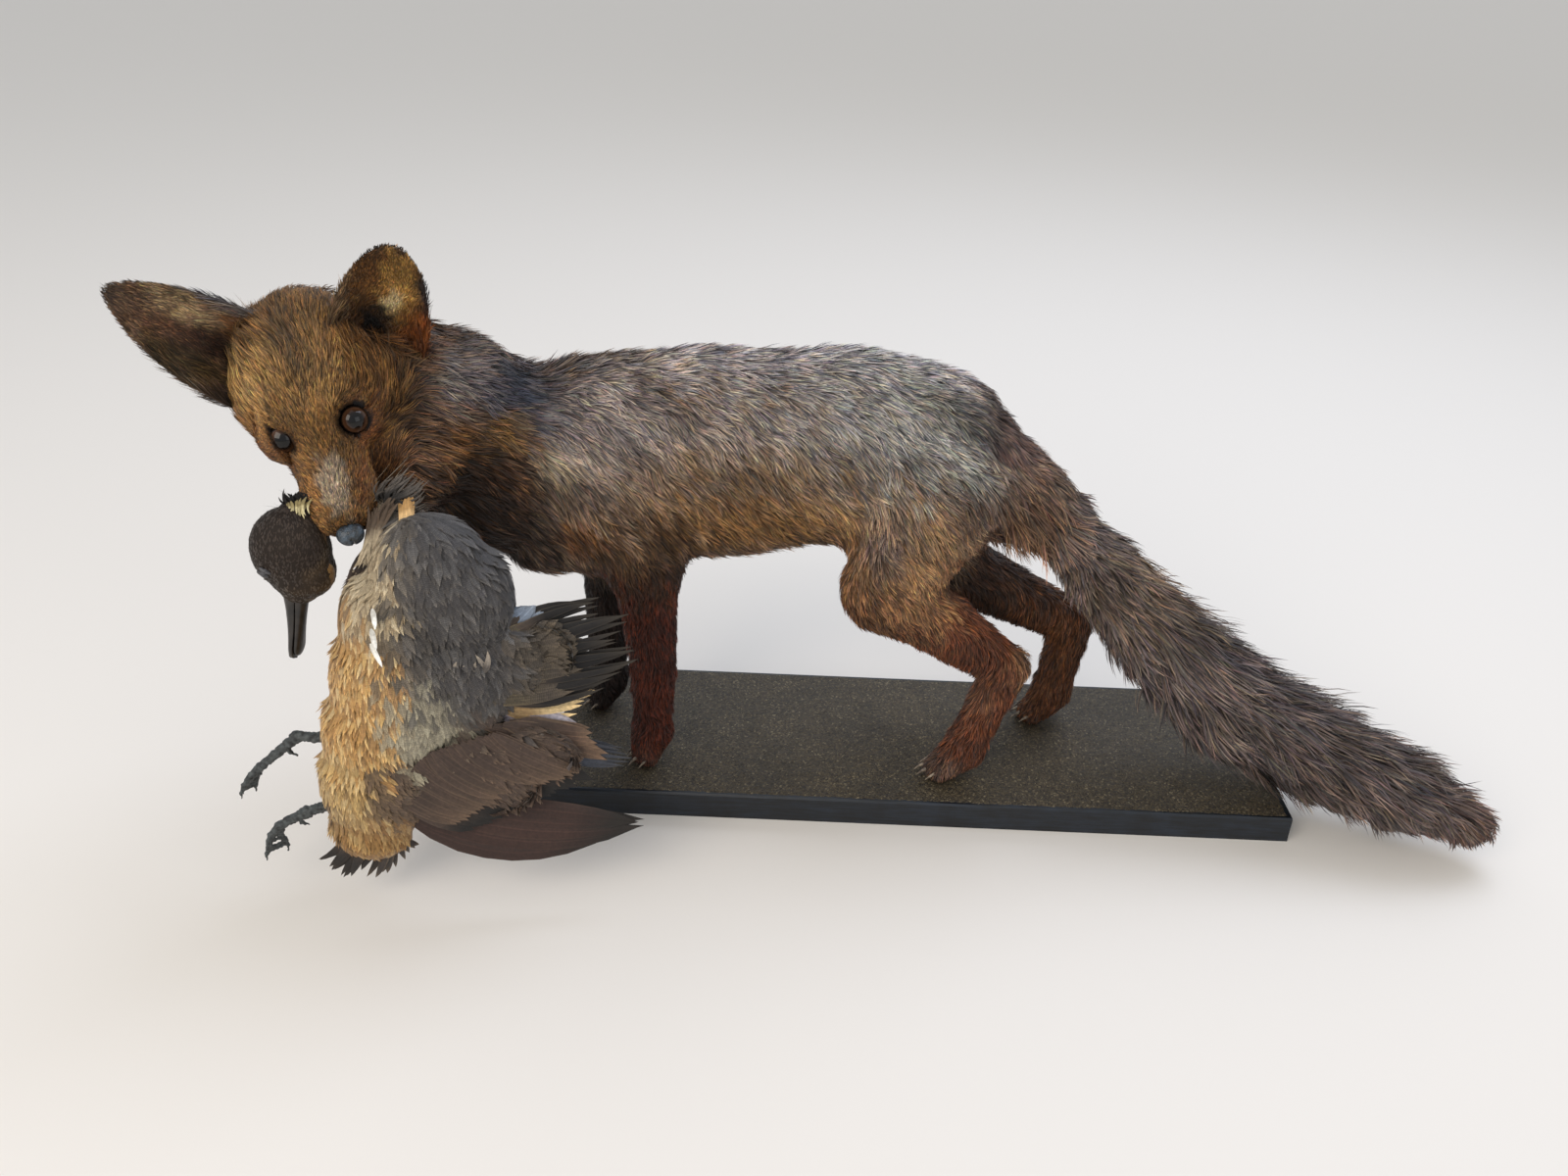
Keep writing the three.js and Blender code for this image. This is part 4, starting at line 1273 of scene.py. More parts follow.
@dataclass(frozen=True)
class EarSpot:
    """A soft marking on an ear, or painted shade in its hollow.

    Args:
        at: its place along the ear (0 base, 1 tip) and across it (1 at the rim).
        size: how far it reaches along and across.
        root, tip: sRGB colours at the hair's root and tip.
        strength: how much of the coat below it covers.
        inside: whether it lies only in the hollow.
    """

    at: tuple[float, float]
    size: tuple[float, float]
    root: str
    tip: str
    strength: float = 0.9
    inside: bool = True


@dataclass(frozen=True)
class EarCoat:
    """The root and tip colours of an ear's hollow and rim, and its markings."""

    inner: tuple[str, str]
    rim: tuple[str, str]
    spots: tuple[EarSpot, ...]


EAR_COATS = {
    Region.EAR_LEFT: EarCoat(("#32200F", "#75502A"), ("#1A1512", "#463A30"), (
        EarSpot((0.60, 0.30), (0.42, 0.44), "#7A5526", "#CC9E58"),
        EarSpot((0.46, 0.16), (0.12, 0.22), "#A98B5C", "#E6D4A8"),
        # painted shade: the recess at the base of the hollow made near black
        EarSpot((0.25, -0.10), (0.20, 0.40), "#050302", "#140C07", 1.0),
        EarSpot((0.52, -0.85), (0.45, 0.28), "#4A3826", "#9E8160", 0.9, False),
        EarSpot((0.20, 0.85), (0.32, 0.45), "#4A250D", "#9A5824", 0.9, False),
        EarSpot((0.78, 0.82), (0.34, 0.30), "#0F0E12", "#2B2A33", 0.9, False),
    )),
    Region.EAR_RIGHT: EarCoat(("#3B2A20", "#7D624C"), ("#221B17", "#5A4E44"), (
        EarSpot((0.16, 1.00), (0.22, 0.42), "#6B625C", "#B9B0A6", 0.9, False),
        EarSpot((0.13, 0.50), (0.14, 0.32), "#4A260E", "#94592A"),
        EarSpot((0.48, 0.48), (0.34, 0.36), "#65503A", "#B49B76"),
        # painted shade: the recess at the base of the hollow made dark
        EarSpot((0.20, 0.00), (0.20, 0.40), "#140C07", "#38241A"),
        EarSpot((0.45, -0.20), (0.30, 0.30), "#2E1A11", "#5E3F2E", 0.7),
        EarSpot((0.30, -0.60), (0.40, 0.35), "#2A2113", "#5C4A2C", 0.8, False),
        EarSpot((0.70, 0.90), (0.45, 0.22), "#2A2A33", "#6F7080", 0.8, False),
    )),
}


def lay_over(root: Array, tip: Array, shades: tuple[str, str], cover: Array) -> None:
    """Mixes a root and a tip colour into rows of them, as far as the cover says."""
    for rows, shade in zip((root, tip), shades):
        rows += (linear(shade) - rows) * cover[:, None]


@dataclass
class Coat:
    """The fox's coat: the markings, the lie of the hair and the tufts themselves."""

    skin: Skin
    seed: int = 11
    lie: Array = field(init=False)  # the way the hair lies at each vertex
    bend: Array = field(init=False)  # how fast the skin turns along the lie
    root: Array = field(init=False)  # colour of the hair's root at each vertex
    tip: Array = field(init=False)
    ragged: Waves = field(default_factory=lambda: Waves(0.012, 3))
    cloudy: Waves = field(default_factory=lambda: Waves(0.045, 4))

    def __post_init__(self) -> None:
        """Marks and combs the whole coat."""
        self._mark()
        self._comb()

    # ------------------------------------------------------------- markings

    def _mark(self) -> None:
        """Fills in the colour of root and tip at each vertex."""
        skin = self.skin
        root = skin.share @ np.array([linear(TONES[r].root) for r in REGIONS])
        tip = skin.share @ np.array([linear(TONES[r].tip) for r in REGIONS])
        rough = self.ragged(skin.points)
        local = HEAD.into(skin.points)
        for patches, points, taken in (
            (BODY_PATCHES, skin.points / MM, self._on_head()),
            (FACE_PATCHES, local, self._on_ears()),
        ):
            for patch in patches:
                cover = patch.cover(points, rough) * (1 - taken)
                lay_over(root, tip, (patch.root, patch.tip), cover)
        for region, coat in EAR_COATS.items():
            self._mark_ear(region, coat, root, tip)
        for eye in EYES:
            _, away, angle, turn = eye.seen_from(local)
            rim = 1 - ease(angle - eye.edge(turn), 3, 10)
            close = 1 - ease(away, eye.radius + 2.5, eye.radius + LID_NEAR)
            lay_over(root, tip, LID_SHADES, rim * close)
        broad, fine, darkest, palest = MOTTLE
        mottle = 1 + broad * self.cloudy(skin.points) + fine * rough
        mottle = np.clip(mottle, darkest, palest)[:, None]
        self.root, self.tip = root * mottle, tip * mottle

    def _mark_ear(self, region: Region, coat: EarCoat, root: Array, tip: Array) -> None:
        """Colours one ear's back, rim and hollow."""
        skin = self.skin
        mine = skin.share[:, REGIONS.index(region)] > 0.5
        shape = EAR_SHAPES[region]
        along, across, _ = shape.into(HEAD.into(skin.points[mine])).T
        out = skin.normals[mine] @ HEAD.turn(shape.axes[2])
        inside = ease(out, -0.15, 0.35)
        rim = ease(np.abs(across), 0.62, 0.92) + ease(along, 0.84, 0.97)
        ragged = 0.2 * self.ragged(skin.points[mine])
        layers = [(coat.inner, inside), (coat.rim, 0.7 * np.clip(rim, 0, 1))]
        for spot in coat.spots:
            (a, b), (reach, breadth) = spot.at, spot.size
            away = np.hypot((along - a) / reach, (across - b) / breadth) + ragged
            cover = spot.strength * (1 - ease(away, 0.45, 1.25))
            layers.append(((spot.root, spot.tip), cover * (inside if spot.inside else 1.0)))
        for shades, cover in layers:
            everywhere = np.zeros(len(root))
            everywhere[mine] = cover
            lay_over(root, tip, shades, everywhere)

    def _on(self, *regions: Region) -> Array:
        """How much each vertex belongs to some regions."""
        return self.skin.share[:, [REGIONS.index(r) for r in regions]].sum(axis=1)

    def _on_head(self) -> Array:
        """How much each vertex belongs to the head and ears."""
        return self._on(Region.HEAD, Region.JAW, *EARS)

    def _on_ears(self) -> Array:
        """How much each vertex belongs to an ear."""
        return self._on(*EARS)

    # ------------------------------------------------------------ lie of hair

    def _comb(self) -> None:
        """Works out which way the hair lies, and how the skin bends along it."""
        skin = self.skin
        ways = np.stack([self._way(region) for region in REGIONS], axis=1)
        lie = np.einsum("nr,nrc->nc", skin.share, ways)
        lie = lie + self._round_eyes() * 1.6
        end = self._on(Region.TAIL) * ease(skin.points[:, 0] / MM, *BRUSH_END)
        lie[:, 2] -= 0.8 * end
        lie -= skin.normals * dot(lie, skin.normals)
        lie = soften(unit(lie), skin.faces, 6)
        lie -= skin.normals * dot(lie, skin.normals)
        self.lie = unit(lie)
        self.bend = bend_along(skin.points, skin.faces, skin.normals, self.lie)

    def _round_eyes(self) -> Array:
        """A push away from each eye, so that no hair lies across it."""
        local = HEAD.into(self.skin.points)
        push = np.zeros_like(local)
        for eye in EYES:
            way, away, _, _ = eye.seen_from(local)
            gaze = unit(np.array(eye.gaze))
            outward = unit(way - (way @ gaze)[:, None] * gaze)
            push += outward * (1 - ease(away, eye.radius + 1, eye.radius + LID_FAR))[:, None]
        return HEAD.turn(push)

    def _way(self, region: Region) -> Array:
        """The way the hair of a region points at each vertex, before it meets the skin."""
        points = self.skin.points / MM
        local = HEAD.into(self.skin.points)
        match region:
            case Region.HEAD | Region.JAW:
                way = unit(local - (88.0, 0.0, -22.0)) * (1.0, 1.15, 1.0)
                for shape in EAR_SHAPES.values():
                    away = np.linalg.norm(local - shape.base, axis=1, keepdims=True)
                    near = 1 - ease(away, 22.0, 46.0)
                    way = way + (shape.axes[0] * 1.4 - way) * near
                return unit(HEAD.turn(way))
            case Region.NECK:
                return unit(np.array([0.80, 0.42, -0.52]) + 0 * points)
            case Region.TRUNK:
                side = self.skin.normals[:, 1:2]
                low = ease(points[:, 2:3], 380, 250)
                down = -0.30 - 0.65 * np.abs(side) - 0.25 * low
                rump = ease(points[:, 0:1], -70, 60)
                down = down - 0.7 * rump * np.abs(side)
                flat = np.abs(self.skin.normals[:, 2:3])
                down = down * (1 - 0.6 * flat)
                return unit(np.hstack([1 + 0 * down, 0 * down, down]))
            case Region.FORELEG_LEFT | Region.FORELEG_RIGHT:
                return unit(np.array([0.10, 0.0, -1.0]) + 0 * points)
            case Region.HINDLEG_LEFT | Region.HINDLEG_RIGHT:
                shank = ease(points[:, 2:3], 150, 185)
                return unit(shank * (0.55, 0.0, -0.85) + (1 - shank) * (-0.18, 0.0, -1.0))
            case Region.TAIL:
                steep = ease(points[:, 0:1], 150, 320)
                return unit((1 - steep) * (0.68, -0.10, -0.74) + steep * (0.90, -0.30, -0.38))
            case Region.EAR_LEFT:
                return unit(HEAD.turn((-0.17, 0.33, 0.91)) + 0 * points)
            case Region.EAR_RIGHT:
                return unit(HEAD.turn((-0.42, -0.61, 0.51)) + 0 * points)

    # ---------------------------------------------------------------- tufts

    def grow(self, name: str, regions: Sequence[Region], recipe: "Recipe") -> Piece:
        """Grows the tufts of some regions as one piece.

        Args:
            name: the piece's name.
            regions: the regions whose skin it covers.
            recipe: how many hairs and of what form.

        Returns:
            The coat piece, with the tint attribute and the bake map.
        """
        skin = self.skin
        rng = np.random.default_rng(self.seed + recipe.seed)
        wanted = np.isin(skin.label, [REGIONS.index(r) for r in regions])
        if recipe.only is not None:
            middle = skin.points[skin.faces].mean(axis=1)
            wanted &= recipe.only(middle)
        faces = skin.faces[wanted]
        area = triangle_areas(skin.points, faces)
        every_length, every_width = self._length(), skin.spread(lambda pelt: pelt.width) * MM
        cover = skin.spread(lambda pelt: pelt.cover)
        weight = area * (cover / (every_length * every_width))[faces].mean(axis=1)
        wish = weight.sum() * TUFTS_WISHED
        share = FULL_TUFTS
        count = int(min(wish, recipe.most) * share)
        LOG.info("%s: %d tufts of %d wished", name, count, wish)
        at = sow(faces, weight, count, rng)
        at = at.kept(self._keep(at(skin.points)))
        lift = np.radians(at(skin.spread(lambda pelt: pelt.lift)))
        spots = np.einsum("nk,nkc->nc", at.share, unwrap(skin.points, faces)[at.pick])
        roots = Roots(
            at(skin.points), unit(at(skin.normals)), unit(at(self.lie)), at(every_length),
            at(every_width), lift, at(self.bend), at(self.root), at(self.tip), spots,
        )
        return recipe.weave(name, rng, roots)

    def _length(self) -> Array:
        """The hair's length at each vertex, shortest on the muzzle and the toes."""
        skin = self.skin
        length = skin.spread(lambda pelt: pelt.length)
        local = HEAD.into(skin.points)
        on_head = self._on_head() * (1 - self._on_ears())
        back = 1 - ease(local[:, 0], -60, 20)
        low = 1 - ease(local[:, 2], -40, 0)
        length = length * (1 + on_head * (0.75 * back + 0.7 * low * back))
        for shape in EAR_SHAPES.values():
            away = np.linalg.norm(local - shape.base, axis=1)
            length = length * (1 + 0.6 * on_head * (1 - ease(away, 20, 42)))
        length = length * (1 - 0.35 * on_head * ease(local[:, 0], 20, 60))
        near = np.ones(len(length))
        for eye in EYES:
            away = np.linalg.norm(local - eye.centre, axis=1)
            near = np.minimum(near, 0.28 + 0.72 * ease(away, eye.radius + 1, eye.radius + 15))
        for region, shape in EAR_SHAPES.items():
            along, across, _ = shape.into(local).T
            inside = ease(skin.normals @ HEAD.turn(shape.axes[2]), 0.1, 0.5)
            fringe = 0.9 * ease(np.abs(across), 0.6, 0.85) * (1 - ease(along, 0.75, 0.9))
            tufts = 1.5 * inside * (1 - ease(along, 0.25, 0.65)) * ease(np.abs(across), 0.15, 0.5)
            length = length * (1 + self._on(region) * (fringe + tufts))
        foot = 0.5 + 0.5 * ease(skin.points[:, 2] / MM, 30, 75)
        thigh = np.linalg.norm((skin.points / MM - THIGH_BACK[0]) / THIGH_BACK[1], axis=1)
        foot = foot * (1 + 0.9 * (1 - ease(thigh, 0.5, 1.0)))
        x = skin.points[:, 0] / MM
        brush = 1 - 0.5 * (1 - ease(x, 120, 210)) - 0.2 * ease(x, 390, 470)
        return length * near * foot * (1 + self._on(Region.TAIL) * (brush - 1)) * MM

    def _keep(self, roots: Array) -> Array:
        """Which roots stand clear of the eyes, the nose and the board."""
        local = HEAD.into(roots)
        keep = np.linalg.norm(local - NOSE_CLEAR[0], axis=1) > NOSE_CLEAR[1]
        for eye in EYES:
            _, away, angle, turn = eye.seen_from(local)
            keep &= ~((away < eye.radius + 3) & (angle < eye.edge(turn) + 4))
        return keep & (roots[:, 2] > BOARD_TOP)


@dataclass
class Roots:
    """What each tuft starts with: one row of each array for each tuft, in metres."""

    at: Array
    normal: Array
    lie: Array
    length: Array
    width: Array
    lift: Array  # radians off the skin
    bend: Array  # how fast the skin turns along the lie
    root: Array  # colour by the root
    tip: Array  # colour by the tip
    uv: Array  # place on the bake map


@dataclass(frozen=True)
class Recipe:
    """The form of a piece's tufts.

    Args:
        seed: what makes this piece's random draws its own.
        most: the most tufts it may have.
        steps: the lengths each tuft is bent in.
        clump: how far the tips of a lock are drawn together, 0 to 1.
        lock: how many hairs make one lock.
        stray: degrees each lock turns from the lie of the hair.
        pale: the share of hairs with a pale tip.
        curl: how far a tuft sways sideways, as a share of its length.
        only: picks part of the skin, by the middles of its triangles.
    """

    seed: int
    most: int
    steps: int = 3
    clump: float = 0.42
    lock: int = 9
    stray: float = 9.0
    pale: float = 0.25
    curl: float = 0.12
    only: Callable[[Array], Array] | None = None

    def weave(self, name: str, rng: np.random.Generator, roots: Roots) -> Piece:
        """Builds the tufts from what each one starts with, and returns their object."""
        count, normal = len(roots.at), roots.normal
        guide = rng.choice(count, max(count // self.lock, 1), replace=False)
        lead = nearest(roots.at[guide], roots.at)
        turn = np.radians(self.stray) * rng.normal(size=len(guide))
        swirl = Waves(0.03, self.seed + 50)
        turn = turn[lead] + np.radians(8) * swirl(roots.at)
        turn += np.radians(5) * rng.normal(size=count)
        lie = unit(swing(roots.lie, np.cross(normal, roots.lie), turn))
        side = np.cross(normal, lie)
        part = roots.length * rng.uniform(0.72, 1.22, count) / self.steps
        lift = roots.lift * rng.uniform(0.55, 1.45, count) * (1 + 0.3 * swirl(roots.at * 1.7))
        gather = roots.at - roots.at[guide][lead]
        gather -= lie * dot(gather, lie) + normal * dot(gather, normal)
        sway = rng.normal(size=count) * self.curl
        line = [roots.at]
        ahead, above = lie, normal
        turned = (roots.bend * part)[:, None]
        for step in range(self.steps):
            t = (step + 0.5) / self.steps
            move = swing(ahead, above, lift * (1.5 - 1.1 * t))
            move = move + side * (sway * (t - 0.3))[:, None]
            line.append(line[-1] + move * part[:, None])
            ahead, above = unit(ahead - turned * above), unit(above + turned * ahead)
        for step in range(1, self.steps + 1):
            drawn = self.clump * (step / self.steps) ** 1.5
            line[step] = line[step] - gather * drawn
        locks = rng.uniform(0.74, 1.26, len(guide))[lead]
        return self._ribbons(name, rng, roots, line, side, locks)

    def _ribbons(
        self, name: str, rng: np.random.Generator, roots: Roots, line: list[Array],
        side: Array, locks: Array,
    ) -> Piece:
        """Gives each bent line a tapered width and its colours."""
        count, steps, rows = len(side), self.steps, 2 * self.steps + 1
        roll = rng.uniform(-0.9, 0.9, count)
        half = swing(side, roots.normal, roll)
        half = half * (roots.width * rng.uniform(0.7, 1.3, count) / 2)[:, None]
        tone = rng.uniform(*TUFT_TONES, (count, 1))
        # painted light and shade: pale tufts turned golden, dark ones slaty
        painted_hue = 1 + (tone - 1) * PAINTED_LIGHT_HUE
        tone = tone * painted_hue * (1 + 0.06 * rng.normal(size=(count, 3))) * locks[:, None]
        band = rng.random(count) < self.pale
        points, tints = np.empty((2, count, rows, 3))
        maps = np.empty((count, rows, 2))
        for step in range(steps):
            t = step / steps
            breadth = 0.55 + 1.1 * t * (1 - t) * 2
            colour = roots.root + (roots.tip - roots.root) * min(1.0, 0.1 + 1.15 * t)
            for corner, sign in enumerate((-1, 1)):
                at = 2 * step + corner
                points[:, at] = line[step] + sign * breadth * half
                tints[:, at] = colour * tone
                maps[:, at] = roots.uv + PATCH * np.array([sign * 0.45, t - 0.5])
        points[:, -1] = line[steps]
        tints[:, -1] = roots.tip * tone * np.where(band[:, None], PALE_TIP, DARK_TIP)
        maps[:, -1] = roots.uv + PATCH * np.array([0.0, 0.5])
        pattern = []
        for a in range(0, 2 * steps - 2, 2):
            pattern += [[a, a + 1, a + 3], [a, a + 3, a + 2]]
        pattern.append([rows - 3, rows - 2, rows - 1])
        return build_mesh(
            name, points.reshape(-1, 3), repeat(pattern, rows, count),
            np.clip(tints, 0.0, 1.0).reshape(-1, 3), bake_uv=maps.reshape(-1, 2),
        )


# ------------------------------------------------------------------- fox pieces


@dataclass
class Fox:
    """The mounted fox: its skin and coat, eyes, nose, claws and whiskers."""

    skin: Skin = field(default_factory=Skin)

    def build(self) -> None:
        """Builds and dresses every piece of the fox."""
        hide = self.skin.build()
        coat = Coat(self.skin)
        paint(hide.data, 0.35 * coat.root + 0.4 * coat.tip)  # the coat's markings, darker
        flesh = [n for r in REGIONS for n in r.value]
        wear(hide, HideFinish("tanned_hide").material(), "coat", *flesh)
        hair = HairFinish("guard_hair").material()
        for name, regions, slot, recipe in self._coat_pieces():
            wear(coat.grow(name, regions, recipe), hair, slot)
        self._eyes()
        self._nose()
        self._claws()
        self._whiskers(hair)

    @staticmethod
    def _coat_pieces() -> tuple[tuple[str, tuple[Region, ...], str, Recipe], ...]:
        """Name, regions, material slot and recipe of each piece of the coat."""
        fine = {"steps": 2, "clump": 0.3, "lock": 7, "stray": 8.0, "pale": 0.14}
        return (
            ("coat_face", (Region.HEAD, Region.JAW), "coat", Recipe(1, 60000, **fine)),
            ("coat_ears", EARS, "ears", Recipe(2, 24000, **fine)),
            ("coat_neck", (Region.NECK,), "coat", Recipe(3, 32000)),
            ("coat_flank_left", (Region.TRUNK,), "coat",
             Recipe(4, 39000, only=lambda p: p[:, 1] < -8 * MM)),
            ("coat_flank_right", (Region.TRUNK,), "coat",
             Recipe(5, 34000, only=lambda p: p[:, 1] >= -8 * MM)),
            ("coat_forelegs", (Region.FORELEG_LEFT, Region.FORELEG_RIGHT), "legs",
             Recipe(6, 30000, **fine)),
            ("coat_hindlegs", (Region.HINDLEG_LEFT, Region.HINDLEG_RIGHT), "legs",
             Recipe(7, 44000, **fine)),
            ("coat_brush", (Region.TAIL,), "brush",
             Recipe(8, 28000, steps=4, clump=0.5, lock=12, stray=12.0, curl=0.16)),
        )

    def _eyes(self) -> None:
        """The two glass balls."""
        for eye in EYES:
            deselect()
            bpy.ops.mesh.primitive_uv_sphere_add(segments=64, ring_count=40, radius=eye.radius * MM)
            ball = bpy.context.object
            ball.name = "glass_" + eye.node
            gaze = HEAD.turn(unit(np.array(eye.gaze)))
            ball.rotation_mode = "QUATERNION"
            ball.rotation_quaternion = Vector(gaze).to_track_quat("Z", "Y")
            ball.location = HEAD.out(eye.centre)
            settle(ball)
            ball.data.shade_smooth()
            finish = GlassEyeFinish(
                "glass_" + eye.node, tuple(HEAD.out(eye.centre)), tuple(gaze), eye.radius * MM
            )
            wear(ball, finish.material(), "glass_eye", eye.node)

    def _nose(self) -> None:
        """The nose pad: broad above, with a groove and two comma nostrils."""
        deselect()
        bpy.ops.mesh.primitive_ico_sphere_add(subdivisions=6, radius=1.0)
        pad = bpy.context.object
        pad.name = "nose_pad"
        ball = coordinates(pad.data)
        x, y, z = ball.T
        y = np.sign(y) * np.abs(y) ** 0.85
        z = np.sign(z) * np.abs(z) ** 0.85
        shape = np.stack([x * 7.3, y * 9.2 * (1 + 0.16 * z), z * 7.4], axis=1)
        groove = np.exp(-((y / 0.09) ** 2)) * ease(x, 0.1, 0.6) * (1 - ease(z, 0.5, 0.9))
        shape[:, 0] -= 1.1 * groove
        for side in (-1, 1):
            comma = z + 0.05 - 0.5 * np.abs(y - 0.5 * side)
            hole = np.hypot((y - side * 0.52) / 0.24, comma / 0.2)
            slot = (1 - ease(hole, 0.5, 1.25)) * ease(x, 0.0, 0.35)
            shape[:, 0] -= 3.6 * slot
        place(pad.data, HEAD.out(shape + NOSE_AT))
        pad.data.shade_smooth()
        wear(pad, PebbledSkinFinish("nose_varnish").material(), "nose_pad", "nose")

    def _claws(self) -> None:
        """Four curved claws on each foot."""
        claws = []
        for foot, toes in PAWS:
            way = unit(np.subtract(toes, foot))
            side = np.array([-way[1], way[0]])
            for s in (-1.5, -0.5, 0.5, 1.5):
                start = np.array(toes) + side * s * 8 - way * (6 * (abs(s) > 1) - 4.5)
                rings = []
                for t in np.linspace(0, 1, 9):
                    middle = np.array([*(start + way * 8.5 * t), 33.5 - 5.5 * t**1.6])
                    angle = np.linspace(0, 2 * math.pi, 10, endpoint=False)
                    thick = 1.9 * (1 - t) ** 0.7 + 0.12
                    ring = np.cos(angle)[:, None] * (*side, 0.0) * 0.75
                    ring = ring + np.sin(angle)[:, None] * (0.0, 0.0, 1.0)
                    rings.append(middle + ring * thick)
                claws.append(loft("claw", np.array(rings) * MM))
        horn = HornFinish("claw_horn", "#3A2F28", "#9A8A76", 320.0).material()
        wear(join("claws", claws), horn, "legs")

    def _whiskers(self, hair: bpy.types.Material) -> None:
        """Long bristles that stand out from both sides of the muzzle."""
        rng = np.random.default_rng(61)
        count = 26
        side = np.where(np.arange(count) % 2, 1.0, -1.0)
        spot = np.stack([rng.uniform(44, 62, count), side * rng.uniform(11, 13, count),
                         rng.uniform(-22, -13, count)], axis=1)
        back, rise = rng.uniform(-0.7, -0.1, count), rng.uniform(-0.2, 0.5, count)
        way = unit(HEAD.turn(np.stack([back, side, rise], axis=1)))
        face = unit(np.cross(way, rng.normal(size=(count, 3))))
        # painted light and shade by side: the near side's whiskers pale, the far side's a tenth as
        # bright
        tone = np.where(side > 0, 1.0, 0.12)[:, None] * linear("#A79A88")
        even = np.ones(count)
        plumes = Plumes(
            HEAD.out(spot), way, face, rng.uniform(0.026, 0.048, count), 0.00042 * even,
            tone, tone, 0 * even, 0 * even, rng.uniform(2, 14, count), 0 * even,
            0.5 * even, 0 * even, 0 * even,
        )
        wear(plumes.build("whiskers", 8, np.full((count, 2), 0.5)), hair, "coat")


# ---------------------------------------------------------------------- the duck


@dataclass(frozen=True)
class Egg:
    """A ball stretched to three half sizes, in millimetres, and turned in degrees."""

    at: Point
    size: Point
    turn: Point = (0.0, 0.0, 0.0)

    def over(self, ball: Array) -> Array:
        """A unit ball's points stretched over the egg, in metres."""
        turned = np.array(Euler([math.radians(a) for a in self.turn]).to_matrix())
        return ((ball * self.size) @ turned.T + self.at) * MM


@dataclass(frozen=True)
class Rod:
    """A round rod that tapers from one ball to another, in millimetres."""

    start: Point
    end: Point
    thick: tuple[float, float]

    def over(self, ball: Array) -> Array:
        """A unit ball's points as a row of balls close together, in metres."""
        a, b = np.array(self.start), np.array(self.end)
        count = max(3, int(np.linalg.norm(b - a) / (min(self.thick) * 0.45)))
        rows = []
        for t in np.linspace(0, 1, count):
            radius = self.thick[0] + (self.thick[1] - self.thick[0]) * t
            rows.append((ball * radius + a + (b - a) * t) * MM)
        return np.vstack(rows)


def melt(name: str, parts: Sequence[Egg | Rod], voxel: float, rounds: int) -> Piece:
    """Melts eggs and rods into one closed smooth surface.

    Args:
        name: the new object's name.
        parts: what it is made of.
        voxel: the size of its faces, in metres.
        rounds: how many times it is smoothed.

    Returns:
        The new object, of triangles.
    """
    deselect()
    bpy.ops.mesh.primitive_ico_sphere_add(subdivisions=3, radius=1.0)
    pattern = bpy.context.object
    ball, faces = coordinates(pattern.data), corners(pattern.data)
    remove(pattern)
    points = np.vstack([part.over(ball) for part in parts])
    first = np.arange(0, len(points), len(ball))[:, None, None]
    body = build_mesh(name, points, (faces[None] + first).reshape(-1, 3))
    select(body)
    body.data.remesh_voxel_size = voxel
    bpy.ops.object.voxel_remesh()
    apply_modifier(body, "SMOOTH", factor=0.5, iterations=rounds)
    body.data.shade_smooth()
    return body


@dataclass(frozen=True)
class Plot:
    """A part of the duck's body where the contour feathers are alike.

    Args:
        at, size: the egg of space it holds, in millimetres.
        length, width: a feather's size, in millimetres.
        gap: the spacing of the feathers, in millimetres.
        way: the way they point, or with source the way is away from that place.
        tones: the colours that a feather's own colour is mixed from.
        bars: how strong the fine wavy bars are.
        rim: how pale the edge is.
        source: the place that the feathers fan out from.
        blunt: how round the feather's end is.
    """

    at: Point
    size: Point
    length: float
    width: float
    gap: float
    way: Point
    tones: tuple[str, ...]
    bars: float = 0.0
    rim: float = 0.3
    source: Point | None = None
    blunt: float = 0.6


@dataclass(frozen=True)
class Fan:
    """A row of long feathers between two lines, in millimetres.

    Args:
        roots, tips: places along the line of the roots and the line of the tips.
        count, width: how many feathers, and how wide each is.
        tones: the colours near the root and near the tip.
        sag: the sideways bend of the first and the last, as a share of the length.
        droop: the bend towards the back of the feather.
        turned: the share of the length that the tip's colour takes.
        bars, rim, blunt: as for a plot.
        jitter: how far the two ends stray, in half millimetres.
        face: the way the vanes face.
        layer: how far each feather lies over the last, in half millimetres.
    """

    roots: tuple[Point, ...]
    tips: tuple[Point, ...]
    count: int
    width: float
    tones: tuple[str, str]
    bars: float = 0.0
    rim: float = 0.2
    sag: tuple[float, float] = (0.0, 0.0)
    droop: float = 0.05
    turned: float = 0.5
    blunt: float = 0.4
    jitter: float = 2.0
    face: Point = (0.12, -0.95, 0.28)
    layer: float = 0.35


